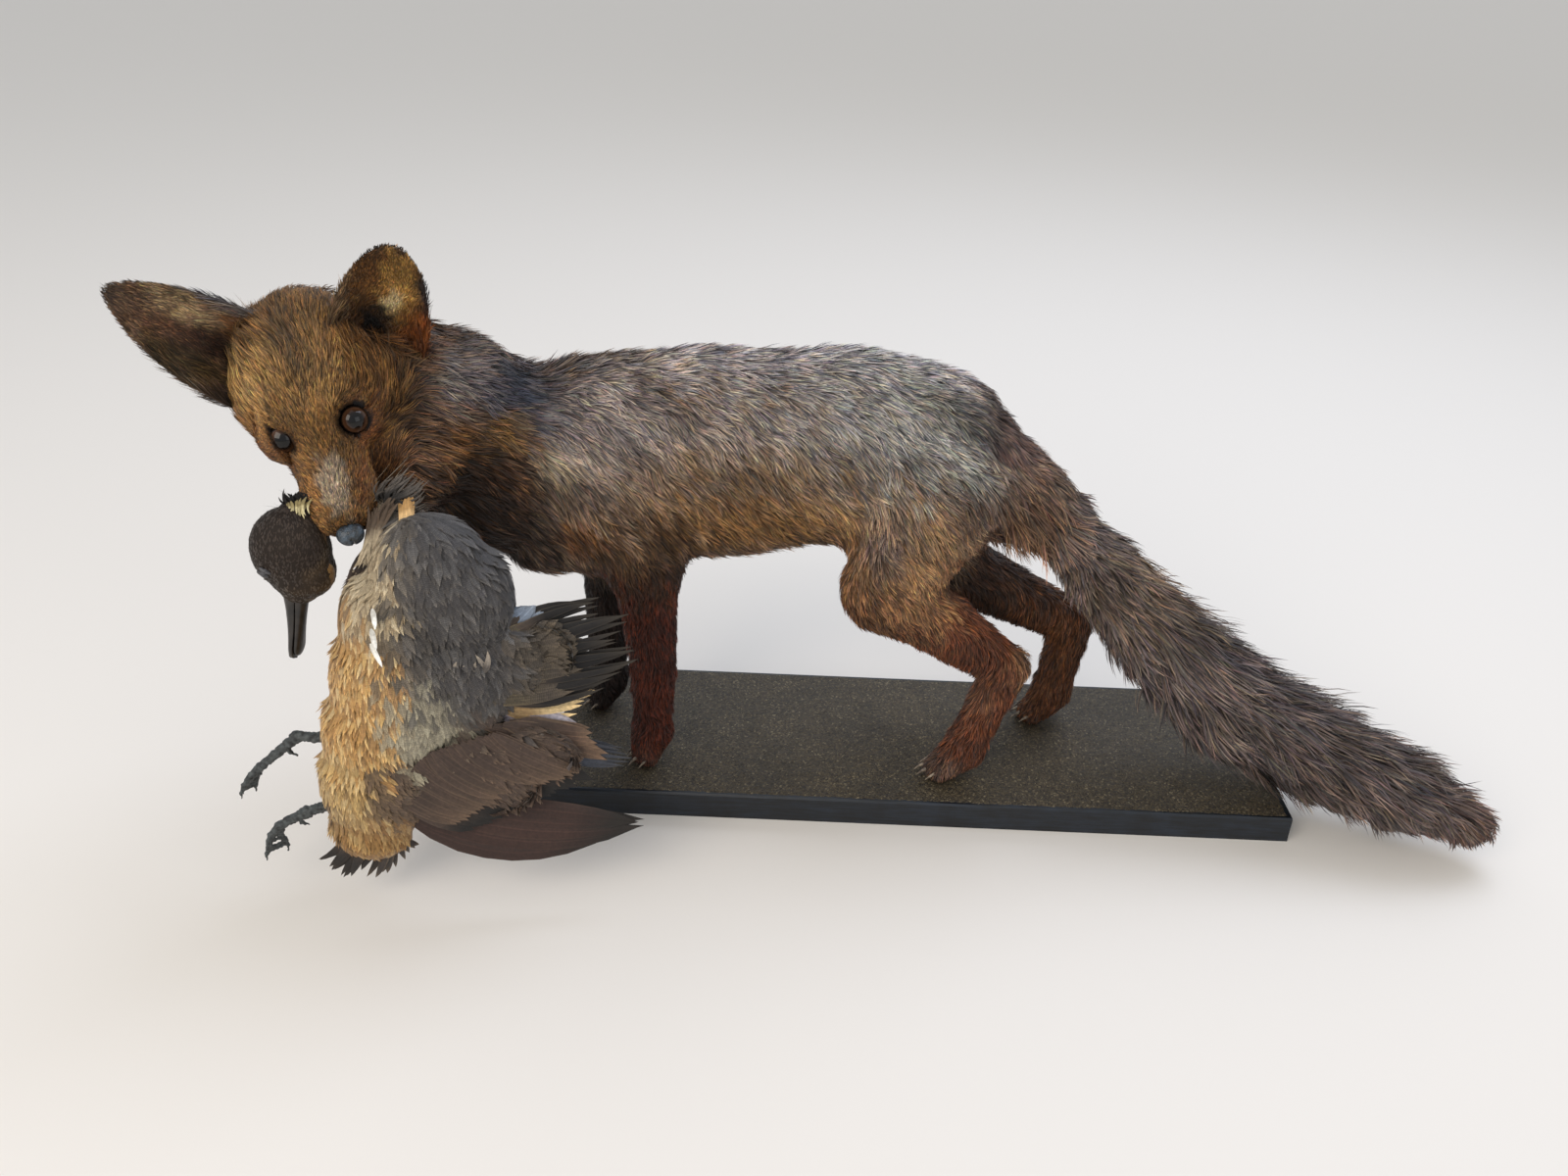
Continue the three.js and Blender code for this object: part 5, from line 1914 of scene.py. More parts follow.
@dataclass
class Plumes:
    """Feathers ready to be built: one row of each array for each feather, in metres."""

    root: Array
    way: Array
    face: Array
    length: Array
    width: Array
    near: Array  # colour by the root
    far: Array  # colour by the tip
    bars: Array  # how strong the fine bars are
    rim: Array  # how pale the edge is
    bend: Array  # how fast the surface below turns
    sway: Array  # sideways bend, as a share of the length
    turned: Array  # the share of the length that the tip's colour takes
    blunt: Array  # how round the end is
    lift: Array  # radians off the surface

    def build(self, name: str, steps: int, uv: Array) -> Piece:
        """Builds each feather as a cupped vane with a shaft down its middle.

        Args:
            name: the object's name.
            steps: how many lengths each vane is bent in.
            uv: each feather's place on the bake map.

        Returns:
            The feathers as one object.
        """
        count, rows = len(self.root), 3 * steps + 1
        side = unit(np.cross(self.face, self.way))
        points, tints = np.empty((2, count, rows, 3))
        vane, maps = np.empty((2, count, rows, 2))
        along = np.empty((count, rows))
        part = (self.length / steps)[:, None]
        ahead = swing(self.way, self.face, self.lift)
        above = swing(self.face, -self.way, self.lift)
        line = self.root
        for step in range(steps + 1):
            t = step / steps
            reach = self.length * t
            if step:
                line = line + ahead * part
                turned = self.bend[:, None] * part
                ahead, above = unit(ahead - turned * above), unit(above + turned * ahead)
            shaft = line + side * (4 * self.sway * self.length * t * (1 - t))[:, None]
            share = ease(np.full(count, t), 1 - self.turned - 0.18, 1 - self.turned + 0.12)
            tint = self.near + (self.far - self.near) * share[:, None]
            ends = ((0, 0.0),) if step == steps else ((0, -1.0), (1, 0.0), (2, 1.0))
            power = 2.0 + 5.0 * self.blunt
            half = 0.5 * self.width * min(1.0, 0.3 + t / 0.26) * (1 - t**power) ** 0.8
            for number, across in ends:
                at = 3 * step + number
                cup = -VANE_CUP * abs(across) * half
                points[:, at] = shaft + side * (across * half)[:, None]
                points[:, at] += above * cup[:, None]
                tints[:, at] = tint
                vane[:, at, 0], vane[:, at, 1] = 0.5 + 0.5 * across, reach / VANE_LENGTH
                along[:, at] = t
                maps[:, at] = uv + PATCH * np.array([0.45 * across, t - 0.5])
        faces = repeat(self._pattern(steps), rows, count)
        values = {"bars": np.repeat(self.bars, rows), "rim": np.repeat(self.rim, rows)}
        piece = build_mesh(
            name, points.reshape(-1, 3), faces, np.clip(tints, 0, 1).reshape(-1, 3),
            values | {"along": along.ravel()}, maps.reshape(-1, 2),
        )
        layer = piece.data.uv_layers.new(name="vane")
        flat = vane.reshape(-1, 2)[faces.ravel()].astype(np.float32)
        layer.data.foreach_set("uv", flat.ravel())
        return piece

    @staticmethod
    def _pattern(steps: int) -> list[list[int]]:
        """The triangles of one vane: two strips side by side that end in a point."""
        pattern = []
        for a in range(0, 3 * steps - 3, 3):
            for b in (a, a + 1):
                pattern += [[b, b + 1, b + 4], [b, b + 4, b + 3]]
        a = 3 * steps - 3
        return [*pattern, [a, a + 1, a + 3], [a + 1, a + 2, a + 3]]


DUCK_BODY = (
    Rod((-396, -166, 320), (-384, -178, 300), (8, 17)),
    Egg((-364, -190, 276), (43, 33, 46)),
    Egg((-345, -188, 258), (37, 32, 46)),
    Egg((-398, -195, 240), (33, 33, 44)),
    Egg((-392, -201, 188), (50, 36, 72)),
    Egg((-412, -204, 150), (41, 33, 50)),
    Egg((-350, -198, 196), (40, 26, 48)),
    Egg((-419, -208, 108), (40, 31, 54)),
    Egg((-424, -212, 74), (31, 23, 33)),
    # the two wings' arms
    Egg((-392, -221, 122), (20, 12, 22)),
    Egg((-346, -213, 126), (52, 9, 34), (0, 14, 0)),
    Egg((-304, -205, 140), (36, 6, 22), (0, 8, 0)),
    Egg((-318, -196, 208), (28, 14, 32)),
    Egg((-296, -187, 214), (26, 7, 26)),
)
DUCK_HEAD = (
    Rod((-449, -172, 322), (-455, -183, 308), (9, 17)),
    Egg((-460, -190, 292), (28, 23, 31)),
    Egg((-455, -190, 276), (24, 20, 22)),
    Egg((-458, -191, 262), (14, 12, 12)),
)
BILL_BASE, BILL_TIP = (-459.0, -191.5, 259.0), (-465.0, -198.5, 208.5)
GREY = ("#222021", "#3A3737", "#2B292A", "#575554")
CREAM = ("#85591F", "#C6A466", "#5C3818", "#A3773A", "#D9C290", "#8E602E")
PLOTS = (
    # the grey-brown back and side, finely barred
    Plot((-340, -194, 272), (54, 70, 60), 22, 7.0, 3.4, (0.30, 0, -1), GREY, 0.8, 0.3),
    Plot((-340, -200, 215), (34, 60, 34), 21, 7.0, 3.4, (0.25, 0, -1), GREY, 0.8, 0.3),
    # the cream breast and belly, mottled with gold and rust
    Plot((-402, -195, 275), (24, 60, 40), 17, 4.6, 2.7, (-0.1, 0, -1),
         ("#6E5A40", "#A8987C", "#C4B79B", "#8C7C62"), 0.3, 0.3),
    Plot((-426, -204, 195), (34, 70, 76), 18, 4.6, 2.7, (0.05, 0, -1), CREAM, 0.15, 0.35),
    Plot((-372, -215, 170), (24, 46, 42), 20, 6.5, 3.4, (-0.05, 0, -1),
         ("#787160", "#8A8371", "#635D50", "#9B9580"), 0.6, 0.15),
    Plot((-430, -212, 118), (30, 50, 40), 17, 4.6, 2.7, (0.0, 0, -1),
         ("#896A39", "#AB905B", "#5D401D", "#BFA87B"), 0.1, 0.35),
    # the rump, gold, and the dark feathers round the legs
    Plot((-414, -212, 72), (34, 44, 30), 18, 4.2, 2.2, (0.05, 0, -1),
         ("#70481A", "#8C6936", "#A58859", "#5D3B14"), 0.0, 0.2),
    Plot((-446, -208, 102), (14, 26, 14), 10, 3.4, 2.1, (-0.2, 0, -1),
         ("#35261C", "#4A3829"), 0.0, 0.1),
    # the head and the stub of the neck, like short dark hair
    Plot((-460, -190, 286), (46, 60, 62), 6.5, 2.0, 1.45, (0.12, 0, 1),
         ("#2A1F18", "#382B22", "#211914"), 0.0, 0.1, blunt=0.2),
    # the coverts of the two wings
    Plot((-398, -226, 118), (22, 26, 30), 15, 5.4, 2.7, (0.8, 0, -0.5),
         ("#43352B", "#57463A", "#372B23"), 0.15, 0.3),
    Plot((-340, -214, 118), (72, 20, 46), 22, 8.5, 3.8, (0.8, 0, -0.6),
         ("#3E3028", "#4C3C31", "#332822"), 0.15, 0.35, (-430, -220, 205)),
    Plot((-300, -190, 214), (34, 24, 36), 20, 9.5, 3.6, (1, 0, 0.3),
         ("#453C31", "#3A332C", "#4F4538"), 0.95, 0.2, (-352, -200, 200)),
)

FANS = (
    # the near wing: primaries, then secondaries with their black ends, then coverts
    Fan(((-398, -220, 84), (-352, -214, 94)), ((-226, -197, 64), (-221, -195, 73)), 10, 15,
        ("#33211B", "#120D0B"), 0.0, 0.12, (-0.15, 0.03), 0.03, 0.22),
    Fan(((-398, -224, 108), (-362, -219, 140), (-318, -206, 150)),
        ((-345, -221, 76), (-307, -213, 97), (-254, -199, 114)), 24, 14,
        ("#43352D", "#0E0B0A"), 0.0, 0.05, (-0.06, -0.03), 0.04, 0.26, 0.75, 0.6),
    Fan(((-402, -229, 116), (-368, -226, 152), (-322, -211, 162)),
        ((-356, -225, 84), (-317, -217, 108), (-263, -203, 125)), 34, 11,
        ("#3E3028", "#4A3A2F"), 0.1, 0.35, (-0.05, -0.03), 0.05, 0.4, 0.75, 1.0),
    Fan(((-334, -214, 164), (-304, -205, 168)),
        ((-242, -191, 121), (-252, -191, 138), (-262, -191, 154)), 9, 13,
        ("#3E3028", "#4A382D"), 0.1, 0.7, (0.04, -0.04), 0.05, 0.4, 0.5),
    Fan(((-290, -198, 140), (-286, -197, 132)),
        ((-238, -187, 133), (-228, -186, 124), (-242, -190, 118)), 12, 4.5,
        ("#3D414B", "#2B2E36"), 0.0, 0.2, (0.08, -0.08), 0.03, 0.4, 0.1, 3.0),
    Fan(((-322, -203, 172), (-318, -203, 168)), ((-263, -190, 153), (-266, -190, 147)), 3, 15,
        ("#7F7880", "#98939C"), 0.0, 0.2, (0.03, 0.03), 0.03, 0.5, 0.8),
    Fan(((-322, -201, 182), (-320, -202, 172)),
        ((-250, -180, 181), (-262, -184, 175), (-272, -186, 161)), 8, 8,
        ("#8C7350", "#C4AC80"), 0.0, 0.4, (0.06, -0.06), 0.04, 0.5, 0.2),
    # the far wing: long dark pointed feathers with pale edges, and shorter barred ones
    Fan(((-314, -196, 238), (-324, -200, 214), (-330, -204, 188)),
        ((-277, -172, 241), (-256, -168, 246), (-250, -166, 249), (-246, -166, 230),
         (-231, -163, 237), (-238, -166, 217), (-226, -164, 204), (-231, -168, 198),
         (-242, -172, 189), (-252, -178, 179)), 34, 8.5,
        ("#453A31", "#120E0D"), 0.15, 0.5, (0.10, -0.10), 0.02, 0.62, 0.05, 3.5),
    Fan(((-318, -202, 234), (-330, -208, 212), (-336, -210, 188)),
        ((-282, -180, 238), (-272, -178, 226), (-262, -176, 212), (-262, -178, 196),
         (-274, -186, 182)), 34, 9.5,
        ("#4A4132", "#3F372F"), 0.9, 0.45, (0.06, -0.06), 0.06, 0.4, 0.3, 3.0),
    Fan(((-322, -194, 234), (-312, -192, 228)),
        ((-306, -183, 250), (-295, -181, 251), (-284, -179, 244)), 12, 11,
        ("#4E545F", "#6C7684"), 0.2, 0.2, (0.05, -0.05), 0.3, 0.5, 0.7),
    # the pale tufts at the armpit and two slim white feathers on the side
    Fan(((-350, -219, 210), (-326, -211, 208)), ((-350, -222, 224), (-322, -213, 225)), 14, 4,
        ("#544E49", "#7D756B"), 0.4, 0.3, (0.15, -0.15), 0.1, 0.5, 0.2, 6.0),
    Fan(((-394, -227, 276), (-396, -236, 238)), ((-391, -231, 262), (-393, -239, 222)), 3, 4,
        ("#D8D5CC", "#ECEAE4"), 0.0, 0.0),
    # the tail: two ragged bunches
    Fan(((-438, -226, 66), (-416, -226, 62)),
        ((-463, -227, 46), (-456, -226, 37), (-445, -224, 27), (-430, -222, 40)), 14, 7.5,
        ("#33271F", "#1C1613"), 0.0, 0.25, (0.06, -0.06), 0.05, 0.5, 0.1, 3.5),
    Fan(((-414, -222, 64), (-400, -214, 64)),
        ((-428, -216, 20), (-420, -211, 21), (-404, -206, 36), (-392, -206, 52)), 14, 8,
        ("#3B3028", "#2A221D"), 0.3, 0.9, (0.06, -0.06), 0.05, 0.5, 0.1, 3.5),
    # the dark hackles of the neck, and the barbs that curl out beside the fox's lips
    Fan(((-398, -180, 303), (-403, -184, 292)), ((-427, -190, 266), (-418, -194, 254)), 46, 2.6,
        ("#221A16", "#3C2F27"), 0.0, 0.1, (0.08, -0.08), 0.05, 0.5, 0.1, 5.0),
    Fan(((-398, -172, 322), (-386, -170, 324)),
        ((-396, -178, 338), (-382, -166, 343), (-368, -162, 336), (-366, -170, 320)), 56, 2.0,
        ("#1F1C1A", "#4C4641"), 0.9, 0.3, (0.3, -0.3), 0.2, 0.5, 0.1, 4.0),
    Fan(((-400, -184, 318), (-390, -178, 326)), ((-413, -200, 288), (-400, -195, 284)), 44, 3.0,
        ("#4A3A2B", "#A2937A"), 0.0, 0.1, (0.1, -0.1), 0.1, 0.5, 0.1, 5.0),
    Fan(((-384, -177, 326), (-376, -174, 325)), ((-381, -193, 314), (-371, -189, 311)), 22, 4.5,
        ("#A27C4A", "#C7A370"), 0.0, 0.0, (0.05, -0.05), 0.15, 0.5, 0.9, 1.5),
    Fan(((-460, -182, 323), (-445, -178, 325)), ((-464, -184, 329), (-446, -180, 332)), 40, 2.2,
        ("#17120F", "#0E0B0A"), 0.0, 0.0, (0.2, -0.2), 0.1, 0.5, 0.1, 3.0),
    Fan(((-459, -187, 325), (-444, -183, 325)), ((-459, -193, 318), (-443, -190, 317)), 36, 1.9,
        ("#84764E", "#C4B78A"), 0.0, 0.0, (0.2, -0.2), 0.1, 0.5, 0.1, 2.5),
)


def mix_tones(tones: Sequence[str], count: int, rng: np.random.Generator) -> Array:
    """One colour for each feather, each between two of the tones."""
    table = np.array([linear(t) for t in tones])
    a, b = rng.integers(0, len(table), (2, count))
    share = rng.random((count, 1))
    return table[a] * share + table[b] * (1 - share)


def plot_means() -> Array:
    """Each plot's mean colour."""
    return np.array([np.mean([linear(t) for t in p.tones], axis=0) for p in PLOTS])


@dataclass
class Duck:
    """The dead duck in the fox's jaws: skin, feathers, bill, lids and feet."""

    seed: int = 71
    points: Array = field(init=False)
    faces: Array = field(init=False)
    normals: Array = field(init=False)

    def build(self) -> None:
        """Builds and dresses every piece of the duck."""
        skin = melt("duck_skin", (*DUCK_BODY, *DUCK_HEAD), 2.6 * MM, 8)
        self.points, self.faces = coordinates(skin.data), corners(skin.data)
        self.normals = vertex_normals(self.points, self.faces)
        paint(skin.data, 0.6 * self._shares(self.points, 0.1) @ plot_means())
        wear(skin, HideFinish("bird_skin").material(), "plumage", "duck")
        plumage = PlumageFinish("feather_vanes").material()
        first = np.zeros((len(self.points), 2))
        first[self.faces.ravel()] = unwrap(self.points, self.faces).reshape(-1, 2)
        for name, plumes, steps in (
            ("duck_contour", self._contour(), 3), ("duck_quills", self._quills(), 8),
        ):
            spots = first[nearest(self.points, plumes.root)]
            wear(plumes.build(name, steps, spots), plumage, "plumage")
        self._bill()
        self._lids()
        self._feet()

    def _shares(self, points: Array, rough: float) -> Array:
        """How much each point belongs to each plot."""
        room = points / MM
        away = np.stack(
            [np.linalg.norm((room - p.at) / p.size, axis=1) for p in PLOTS], axis=1
        )
        ragged = np.stack([Waves(0.016, 90 + n)(points) for n in range(len(PLOTS))], axis=1)
        pull = np.exp(-4.0 * (away + rough * ragged))
        return pull / pull.sum(axis=1, keepdims=True)

    def _lie(self) -> Array:
        """The way the contour feathers point at each vertex of the skin."""
        room = self.points / MM
        ways = []
        for plot in PLOTS:
            way = np.array(plot.way) + 0 * room if plot.source is None else room - plot.source
            ways.append(unit(way))
        lie = np.einsum("nr,nrc->nc", self._shares(self.points, 0.0), np.stack(ways, axis=1))
        lie -= self.normals * dot(lie, self.normals)
        lie = soften(unit(lie), self.faces, 4)
        return unit(lie - self.normals * dot(lie, self.normals))

    def _contour(self) -> Plumes:
        """The short feathers that cover the skin, one for each cell of a fine grid."""
        rng = np.random.default_rng(self.seed)
        lie = self._lie()
        bend = bend_along(self.points, self.faces, self.normals, lie)
        middle = self.points[self.faces].mean(axis=1)
        owner = self._shares(middle, 0.25).argmax(axis=1)
        rows = []
        for number, plot in enumerate(PLOTS):
            faces = self.faces[owner == number]
            if not len(faces):
                continue
            area = triangle_areas(self.points, faces)
            gap = plot.gap * MM * 1.0
            sown = sow(faces, area, int(area.sum() / gap**2 * SEEDS_PER_CELL), rng)
            cells = np.floor(sown(self.points) / gap).astype(int)
            keep = np.sort(np.unique(cells, axis=0, return_index=True)[1])
            sown = sown.kept(keep)
            count = len(keep)
            face = unit(sown(self.normals))
            turn = rng.normal(size=count) * math.radians(9)
            way = unit(sown(lie))
            way = unit(swing(way, np.cross(face, way), turn))
            shares = self._shares(sown(self.points), 0.15)
            bars = shares @ np.array([p.bars for p in PLOTS])
            tone = 0.55 * (shares @ plot_means()) + 0.45 * mix_tones(plot.tones, count, rng)
            tone = tone * rng.uniform(0.88, 1.12, (count, 1))
            even = np.ones(count)
            root = sown(self.points) - way * (0.3 * plot.length * MM) - face * 0.4 * MM
            rows.append(Plumes(
                root, way, face, plot.length * MM * rng.uniform(0.8, 1.2, count),
                plot.width * MM * rng.uniform(0.8, 1.2, count), tone * 0.86, tone * 1.05,
                bars, plot.rim * even, sown(bend), rng.normal(size=count) * 0.04,
                0.5 * even, plot.blunt * even, np.radians(rng.uniform(2, 8, count)),
            ))
        return join_plumes(rows)

    def _quills(self) -> Plumes:
        """The long feathers of the wings and tail, and the loose tufts."""
        rng = np.random.default_rng(self.seed + 1)
        rows = []
        for fan in FANS:
            count = fan.count
            s = (np.arange(count) + 0.5) / count
            ends = []
            for line in (fan.roots, fan.tips):
                line = np.array(line, float)
                stops = np.linspace(0, 1, len(line))
                place_on = np.stack([np.interp(s, stops, line[:, i]) for i in range(3)], axis=1)
                ends.append((place_on + rng.normal(size=(count, 3)) * fan.jitter * 0.5) * MM)
            root, tip = ends
            arm = tip - root
            length = np.linalg.norm(arm, axis=1)
            way = unit(arm)
            face = np.array(fan.face) + rng.normal(size=(count, 3)) * 0.08
            face = unit(face - way * dot(face, way))
            root = root + face * (np.arange(count)[:, None] * fan.layer * MM * 0.5)
            even = np.ones(count)
            near = linear(fan.tones[0]) * rng.uniform(0.8, 1.2, (count, 1))
            far = linear(fan.tones[1]) * rng.uniform(0.8, 1.2, (count, 1))
            sag = fan.sag[0] + (fan.sag[1] - fan.sag[0]) * s + rng.normal(size=count) * 0.012
            rows.append(Plumes(
                root, way, face, length * rng.uniform(0.94, 1.04, count),
                fan.width * MM * rng.uniform(0.85, 1.15, count), near, far, fan.bars * even,
                fan.rim * even, 2 * fan.droop / length, sag, fan.turned * even,
                fan.blunt * even, fan.droop * even,
            ))
        return join_plumes(rows)

    def _bill(self) -> None:
        """The bill: two broad mandibles with a dark gape between, a nail and nostrils."""
        bill = join("duck_bill", [
            self._mandible("bill_upper", 1, (10.5, 4.2), 1.0),
            self._mandible("bill_lower", -1, (7.0, 3.0), 0.95),
        ])
        bill.data.shade_smooth()
        wear(bill, HornFinish("bill_horn", "#110F0D", "#2D2824", 120.0).material(), "plumage")

    @staticmethod
    def _mandible(name: str, sign: int, thick: tuple[float, float], reach: float) -> Piece:
        """One half of the bill.

        Args:
            name: the object's name.
            sign: 1 for the upper half, -1 for the lower.
            thick: its thickness at the base and at the tip, in millimetres.
            reach: its length as a share of the bill's.

        Returns:
            The half as a closed object.
        """
        base, tip = np.array(BILL_BASE), np.array(BILL_TIP)
        ahead = unit(tip - base)
        crown = unit(np.array([-1.0, 0.0, 0.0]) - ahead * np.dot((-1.0, 0.0, 0.0), ahead))
        side = np.cross(ahead, crown)
        length = float(np.linalg.norm(tip - base))
        angle = np.linspace(0, 2 * math.pi, 40, endpoint=False)
        over = np.sin(angle) > 0
        rings = []
        for t in np.linspace(0, 1, 34):
            far = t * reach
            width = 8.6 - 1.6 * math.sin(math.pi * min(1.0, far * 1.25)) + 0.8 * far
            if far > 0.8 * reach:  # the rounded end
                width *= math.sqrt(max(0.0, 1 - ((far / reach - 0.80) / 0.2) ** 2))
            blunt = max(0.0, (far / reach - 0.84) / 0.17)
            deep = thick[0] + (thick[1] - thick[0]) * (1 - (1 - far) ** 1.8)
            deep *= max(0.25, math.sqrt(max(0.0, 1 - blunt**2)))
            bulge = np.where(over, np.sin(angle) ** 0.8 * deep, np.sin(angle) * 0.9)
            if sign > 0:  # the nail and the nostrils
                nail = np.exp(-((far - 0.97 * reach) / 0.05) ** 2)
                bulge = bulge + 1.2 * nail * (np.sin(angle) > 0.4)
                spot = np.hypot((far - 0.26) / 0.07, (np.abs(np.cos(angle)) - 0.55) / 0.16)
                bulge = bulge - 1.6 * np.clip(1 - spot, 0, 1) * over
            gap = sign * (0.5 + 0.5 * far)
            across = side * (np.cos(angle) * max(width, 0.4))[:, None]
            rings.append(
                base + ahead * (far * length) + across + crown * (gap + sign * bulge)[:, None]
            )
        return loft(name, np.array(rings) * MM)

    def _lids(self) -> None:
        """The closed lids on both sides of the head."""
        lids = []
        for y, out in ((-211.5, -1), (-169.5, 1)):
            for drop, size in ((1.3, (4.4, 1.5, 1.5)), (-1.3, (4.4, 1.5, 1.5))):
                lids.append(Egg((-472 + 0.8 * drop, y - 0.2 * out, 284 + drop), size, (0, 32, 0)))
        piece = melt("duck_lids", lids, 0.45 * MM, 3)
        lid_skin = HornFinish("dry_lid_skin", "#2C2B2C", "#58575B", 500.0, 0.5)
        wear(piece, lid_skin.material(), "plumage")

    def _feet(self) -> None:
        """Two dried webbed feet, shrunk on their bones."""
        parts = []
        for hip, heel, ball, toes in (
            ((-446, -204, 143), (-474, -202, 142), (-506, -200, 112),
             ((-525, -202, 87), (-517, -194, 88), (-520, -208, 96))),
            ((-440, -210, 92), (-474, -209, 77), (-498, -208, 62),
             ((-510, -212, 36), (-497, -202, 38), (-506, -216, 48))),
        ):
            hip, heel, ball = (np.array(p, float) for p in (hip, heel, ball))
            parts += [Rod(hip, heel, (4.2, 3.6)), Rod(heel, ball, (4.3, 3.3))]
            parts.append(Egg(tuple(heel), (5.2, 4.4, 5.0)))
            spur = heel + (ball - heel) * 0.35 + (3, 0, -5)
            parts += [Rod(heel + (ball - heel) * 0.3, spur, (2.4, 1.8)),
                      Rod(spur, spur + (5, 1, -3), (1.7, 0.8))]
            ends = [np.array(t, float) for t in toes]
            for end in ends:
                knuckle = ball + (end - ball) * 0.5 + (-1.5, 0, 1)
                parts += [Rod(ball, knuckle, (3.0, 2.5)), Rod(knuckle, end, (2.4, 1.7)),
                          Rod(end, end + (-0.5, 0, -5), (1.3, 0.6))]
            for end, other in ((ends[0], ends[1]), (ends[0], ends[2])):
                for t in (0.35, 0.55, 0.75, 0.9):
                    a, b = ball + (end - ball) * t, ball + (other - ball) * t
                    parts.append(Rod(a, b, (1.3, 1.3)))
        feet = melt("duck_feet", parts, 0.9 * MM, 3)
        points, faces = coordinates(feet.data), corners(feet.data)
        normals = vertex_normals(points, faces)
        folds = Waves(0.0042, 96)(points) + 0.6 * Waves(0.009, 97)(points)
        place(feet.data, points + normals * (0.32 * MM * folds)[:, None])
        foot_skin = HornFinish("dry_foot_skin", "#1B1E1F", "#484D4D", 260.0, 0.55)
        wear(feet, foot_skin.material(), "plumage")


def join_plumes(rows: Sequence[Plumes]) -> Plumes:
    """Several batches of feathers as one."""
    names = Plumes.__dataclass_fields__
    return Plumes(*(np.concatenate([getattr(row, name) for row in rows]) for name in names))


# --------------------------------------------------------------------- the board


@dataclass
class Board:
    """The painted board with its layer of grit."""

    step: float = 0.0022  # between the points of the layer
    rise: float = 0.0007  # of the highest grains
    edge: float = 2.4 * MM  # the rim of bare paint round the layer
    seed: int = 31

    def build(self) -> None:
        """Paints the CAD board and lays the grit on it."""
        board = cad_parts["board"]
        board.data.materials.clear()
        board.data.materials.append(PaintedWoodFinish("black_paint").material())
        low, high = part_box("board")
        edge = self.edge
        nx = int((high.x - low.x - 2 * edge) / self.step)
        ny = int((high.y - low.y - 2 * edge) / self.step)
        xs = np.linspace(low.x + edge, high.x - edge, nx)
        ys = np.linspace(low.y + edge, high.y - edge, ny)
        gx, gy = np.meshgrid(xs, ys, indexing="ij")
        rng = np.random.default_rng(self.seed)
        flat = np.stack([gx.ravel(), gy.ravel(), np.full(gx.size, high.z)], axis=1)
        flat[:, :2] += rng.uniform(-0.3, 0.3, (len(flat), 2)) * self.step
        rim = np.minimum.reduce([
            flat[:, 0] - low.x, high.x - flat[:, 0], flat[:, 1] - low.y, high.y - flat[:, 1],
        ])
        bumpy = rng.random(len(flat)) ** 1.6 * self.rise + 0.25 * self.rise * Waves(0.03, 32)(flat)
        flat[:, 2] += np.where(rim < edge * 1.4, -0.4 * MM, 0.15 * MM + np.maximum(bumpy, 0))
        i, j = np.meshgrid(np.arange(nx - 1), np.arange(ny - 1), indexing="ij")
        a = (i * ny + j).ravel()
        faces = np.vstack([
            np.stack([a, a + ny, a + ny + 1], axis=1), np.stack([a, a + ny + 1, a + 1], axis=1),
        ])
        grit = build_mesh("grit_layer", flat, faces)
        wear(grit, GritFinish("glued_grit").material(), "board_paint")


# -------------------------------------------------------------------- the studio


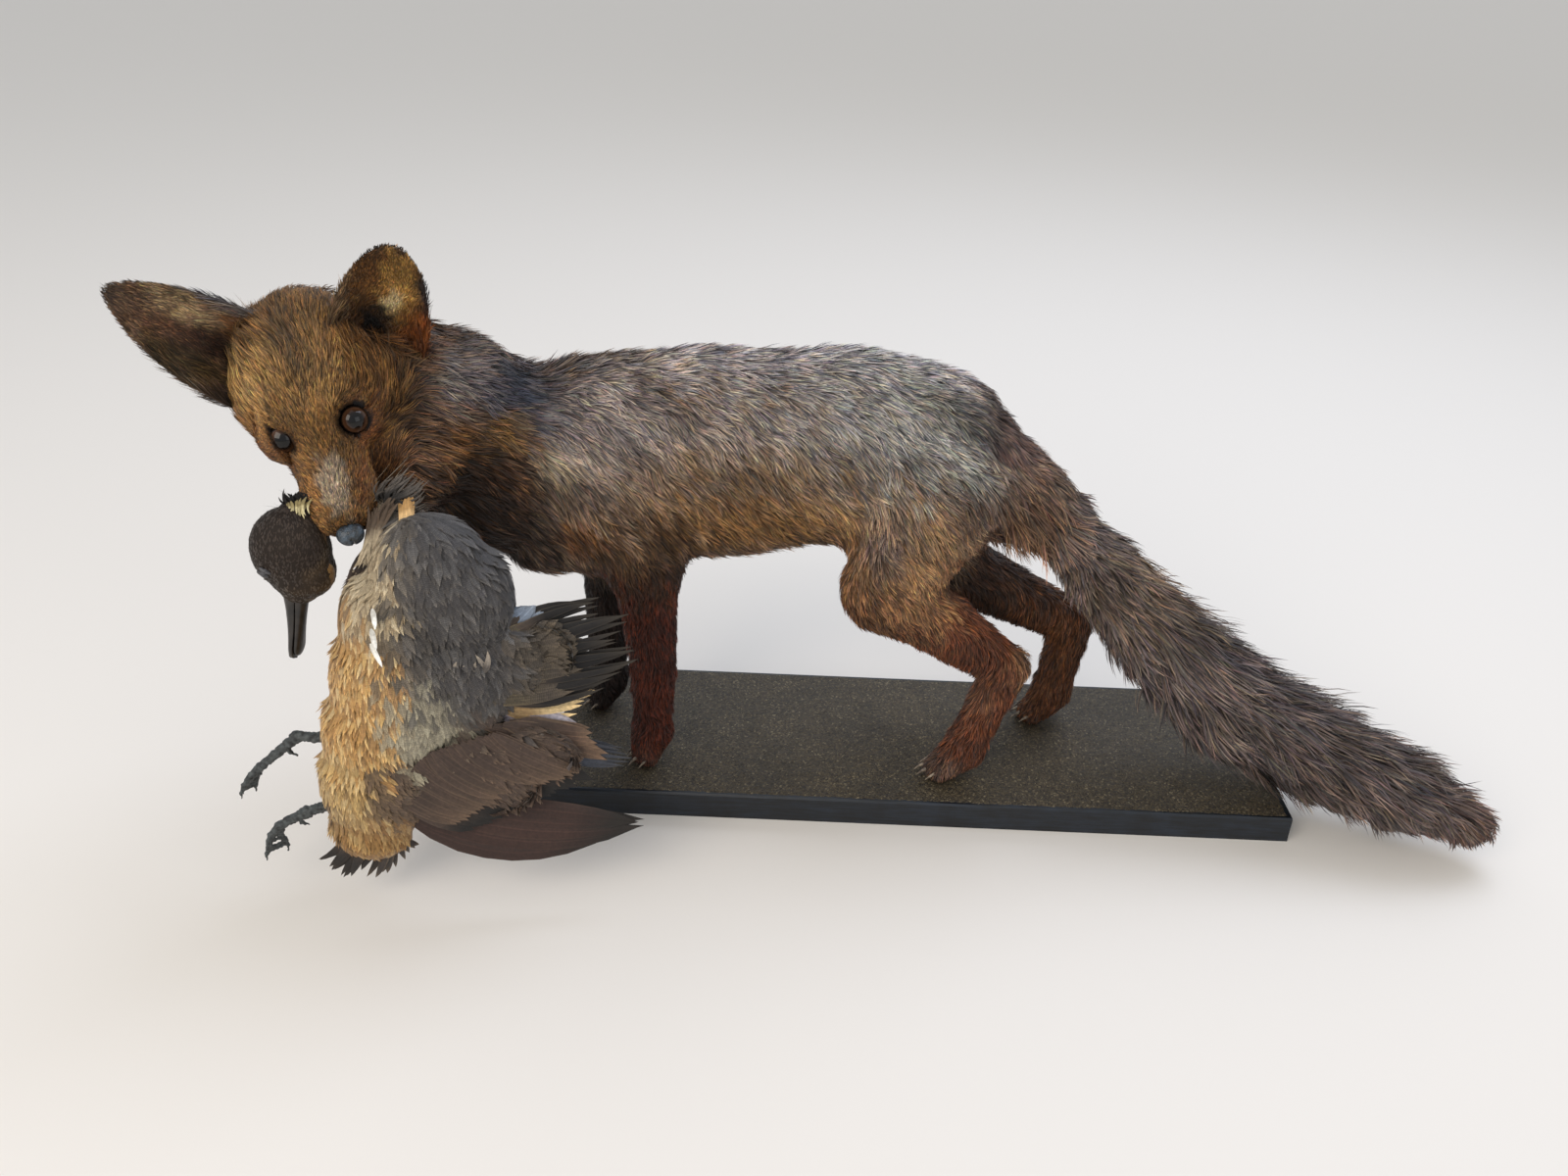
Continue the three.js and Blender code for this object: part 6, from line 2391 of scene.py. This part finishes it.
@dataclass
class Studio:
    """The pale floor, the soft lights and the camera."""

    yaw: float = -0.536
    pitch: float = 28.5235
    roll: float = 2.093
    at: Point = (-0.110838, -0.96512, 0.698377)
    lens: float = 29.1337
    sensor: float = 36.0

    def build(self) -> None:
        """Sets the stage."""
        self._floor()
        self._lights()
        self._camera()

    def _floor(self) -> None:
        """A wide flat floor."""
        deselect()
        bpy.ops.mesh.primitive_plane_add(size=30)
        floor = bpy.context.object
        floor.name = "studio_floor"
        floor.data.materials.append(FloorFinish("pale_floor").material())

    def _lights(self) -> None:
        """A broad window from the front left, a cool one from above, and a grey sky."""
        scene = bpy.context.scene
        scene.view_settings.view_transform = "Standard"
        world = bpy.data.worlds.new("soft_sky")
        scene.world = world
        world.use_nodes = True
        world.node_tree.nodes["Background"].inputs["Color"].default_value = rgba("#DDE0E4")
        world.node_tree.nodes["Background"].inputs["Strength"].default_value = 0.9
        self._lamp("window", (-1.5, -2.3, 2.0), (-0.1, 0, 0.25), 2.0, 52, "#FFF6EA")
        self._lamp("skylight", (0.9, 1.0, 2.6), (0.0, 0, 0.2), 1.8, 34, "#DCE8FF")
        self._lamp("fill", (2.2, -1.8, 1.2), (0.1, 0, 0.2), 1.8, 10, "#FFFFFF")

    def _lamp(
        self, name: str, at: Sequence[float], towards: Sequence[float], size: float,
        power: float, colour: str,
    ) -> None:
        """One square soft light, aimed at a point."""
        data = bpy.data.lights.new(name, "AREA")
        data.size = size
        data.energy = power
        data.color = rgba(colour)[:3]
        lamp = bpy.data.objects.new(name, data)
        bpy.context.collection.objects.link(lamp)
        lamp.location = at
        way = Vector(towards) - Vector(at)
        lamp.rotation_euler = way.to_track_quat("-Z", "Y").to_euler()

    def _camera(self) -> None:
        """The camera, from its yaw, pitch and roll."""
        yaw, pitch, roll = (math.radians(a) for a in (self.yaw, self.pitch, self.roll))
        ahead = np.array([
            math.sin(yaw) * math.cos(pitch), math.cos(yaw) * math.cos(pitch), -math.sin(pitch),
        ])
        level = np.array([math.cos(yaw), -math.sin(yaw), 0.0])
        over = np.cross(level, ahead)
        right = math.cos(roll) * level + math.sin(roll) * over
        up = -math.sin(roll) * level + math.cos(roll) * over
        turn = Matrix([[right[i], up[i], -ahead[i]] for i in range(3)]).to_4x4()
        data = bpy.data.cameras.new("camera")
        data.lens = self.lens
        data.sensor_width = self.sensor
        camera = bpy.data.objects.new("camera", data)
        bpy.context.collection.objects.link(camera)
        camera.matrix_world = Matrix.Translation(self.at) @ turn
        bpy.context.scene.camera = camera


def main() -> None:
    """Builds everything in order."""
    logging.basicConfig(level=logging.INFO, format="%(name)s: %(message)s")
    deselect()
    Studio().build()
    Board().build()
    Fox().build()
    Duck().build()


if __name__ == "__main__":
    main()
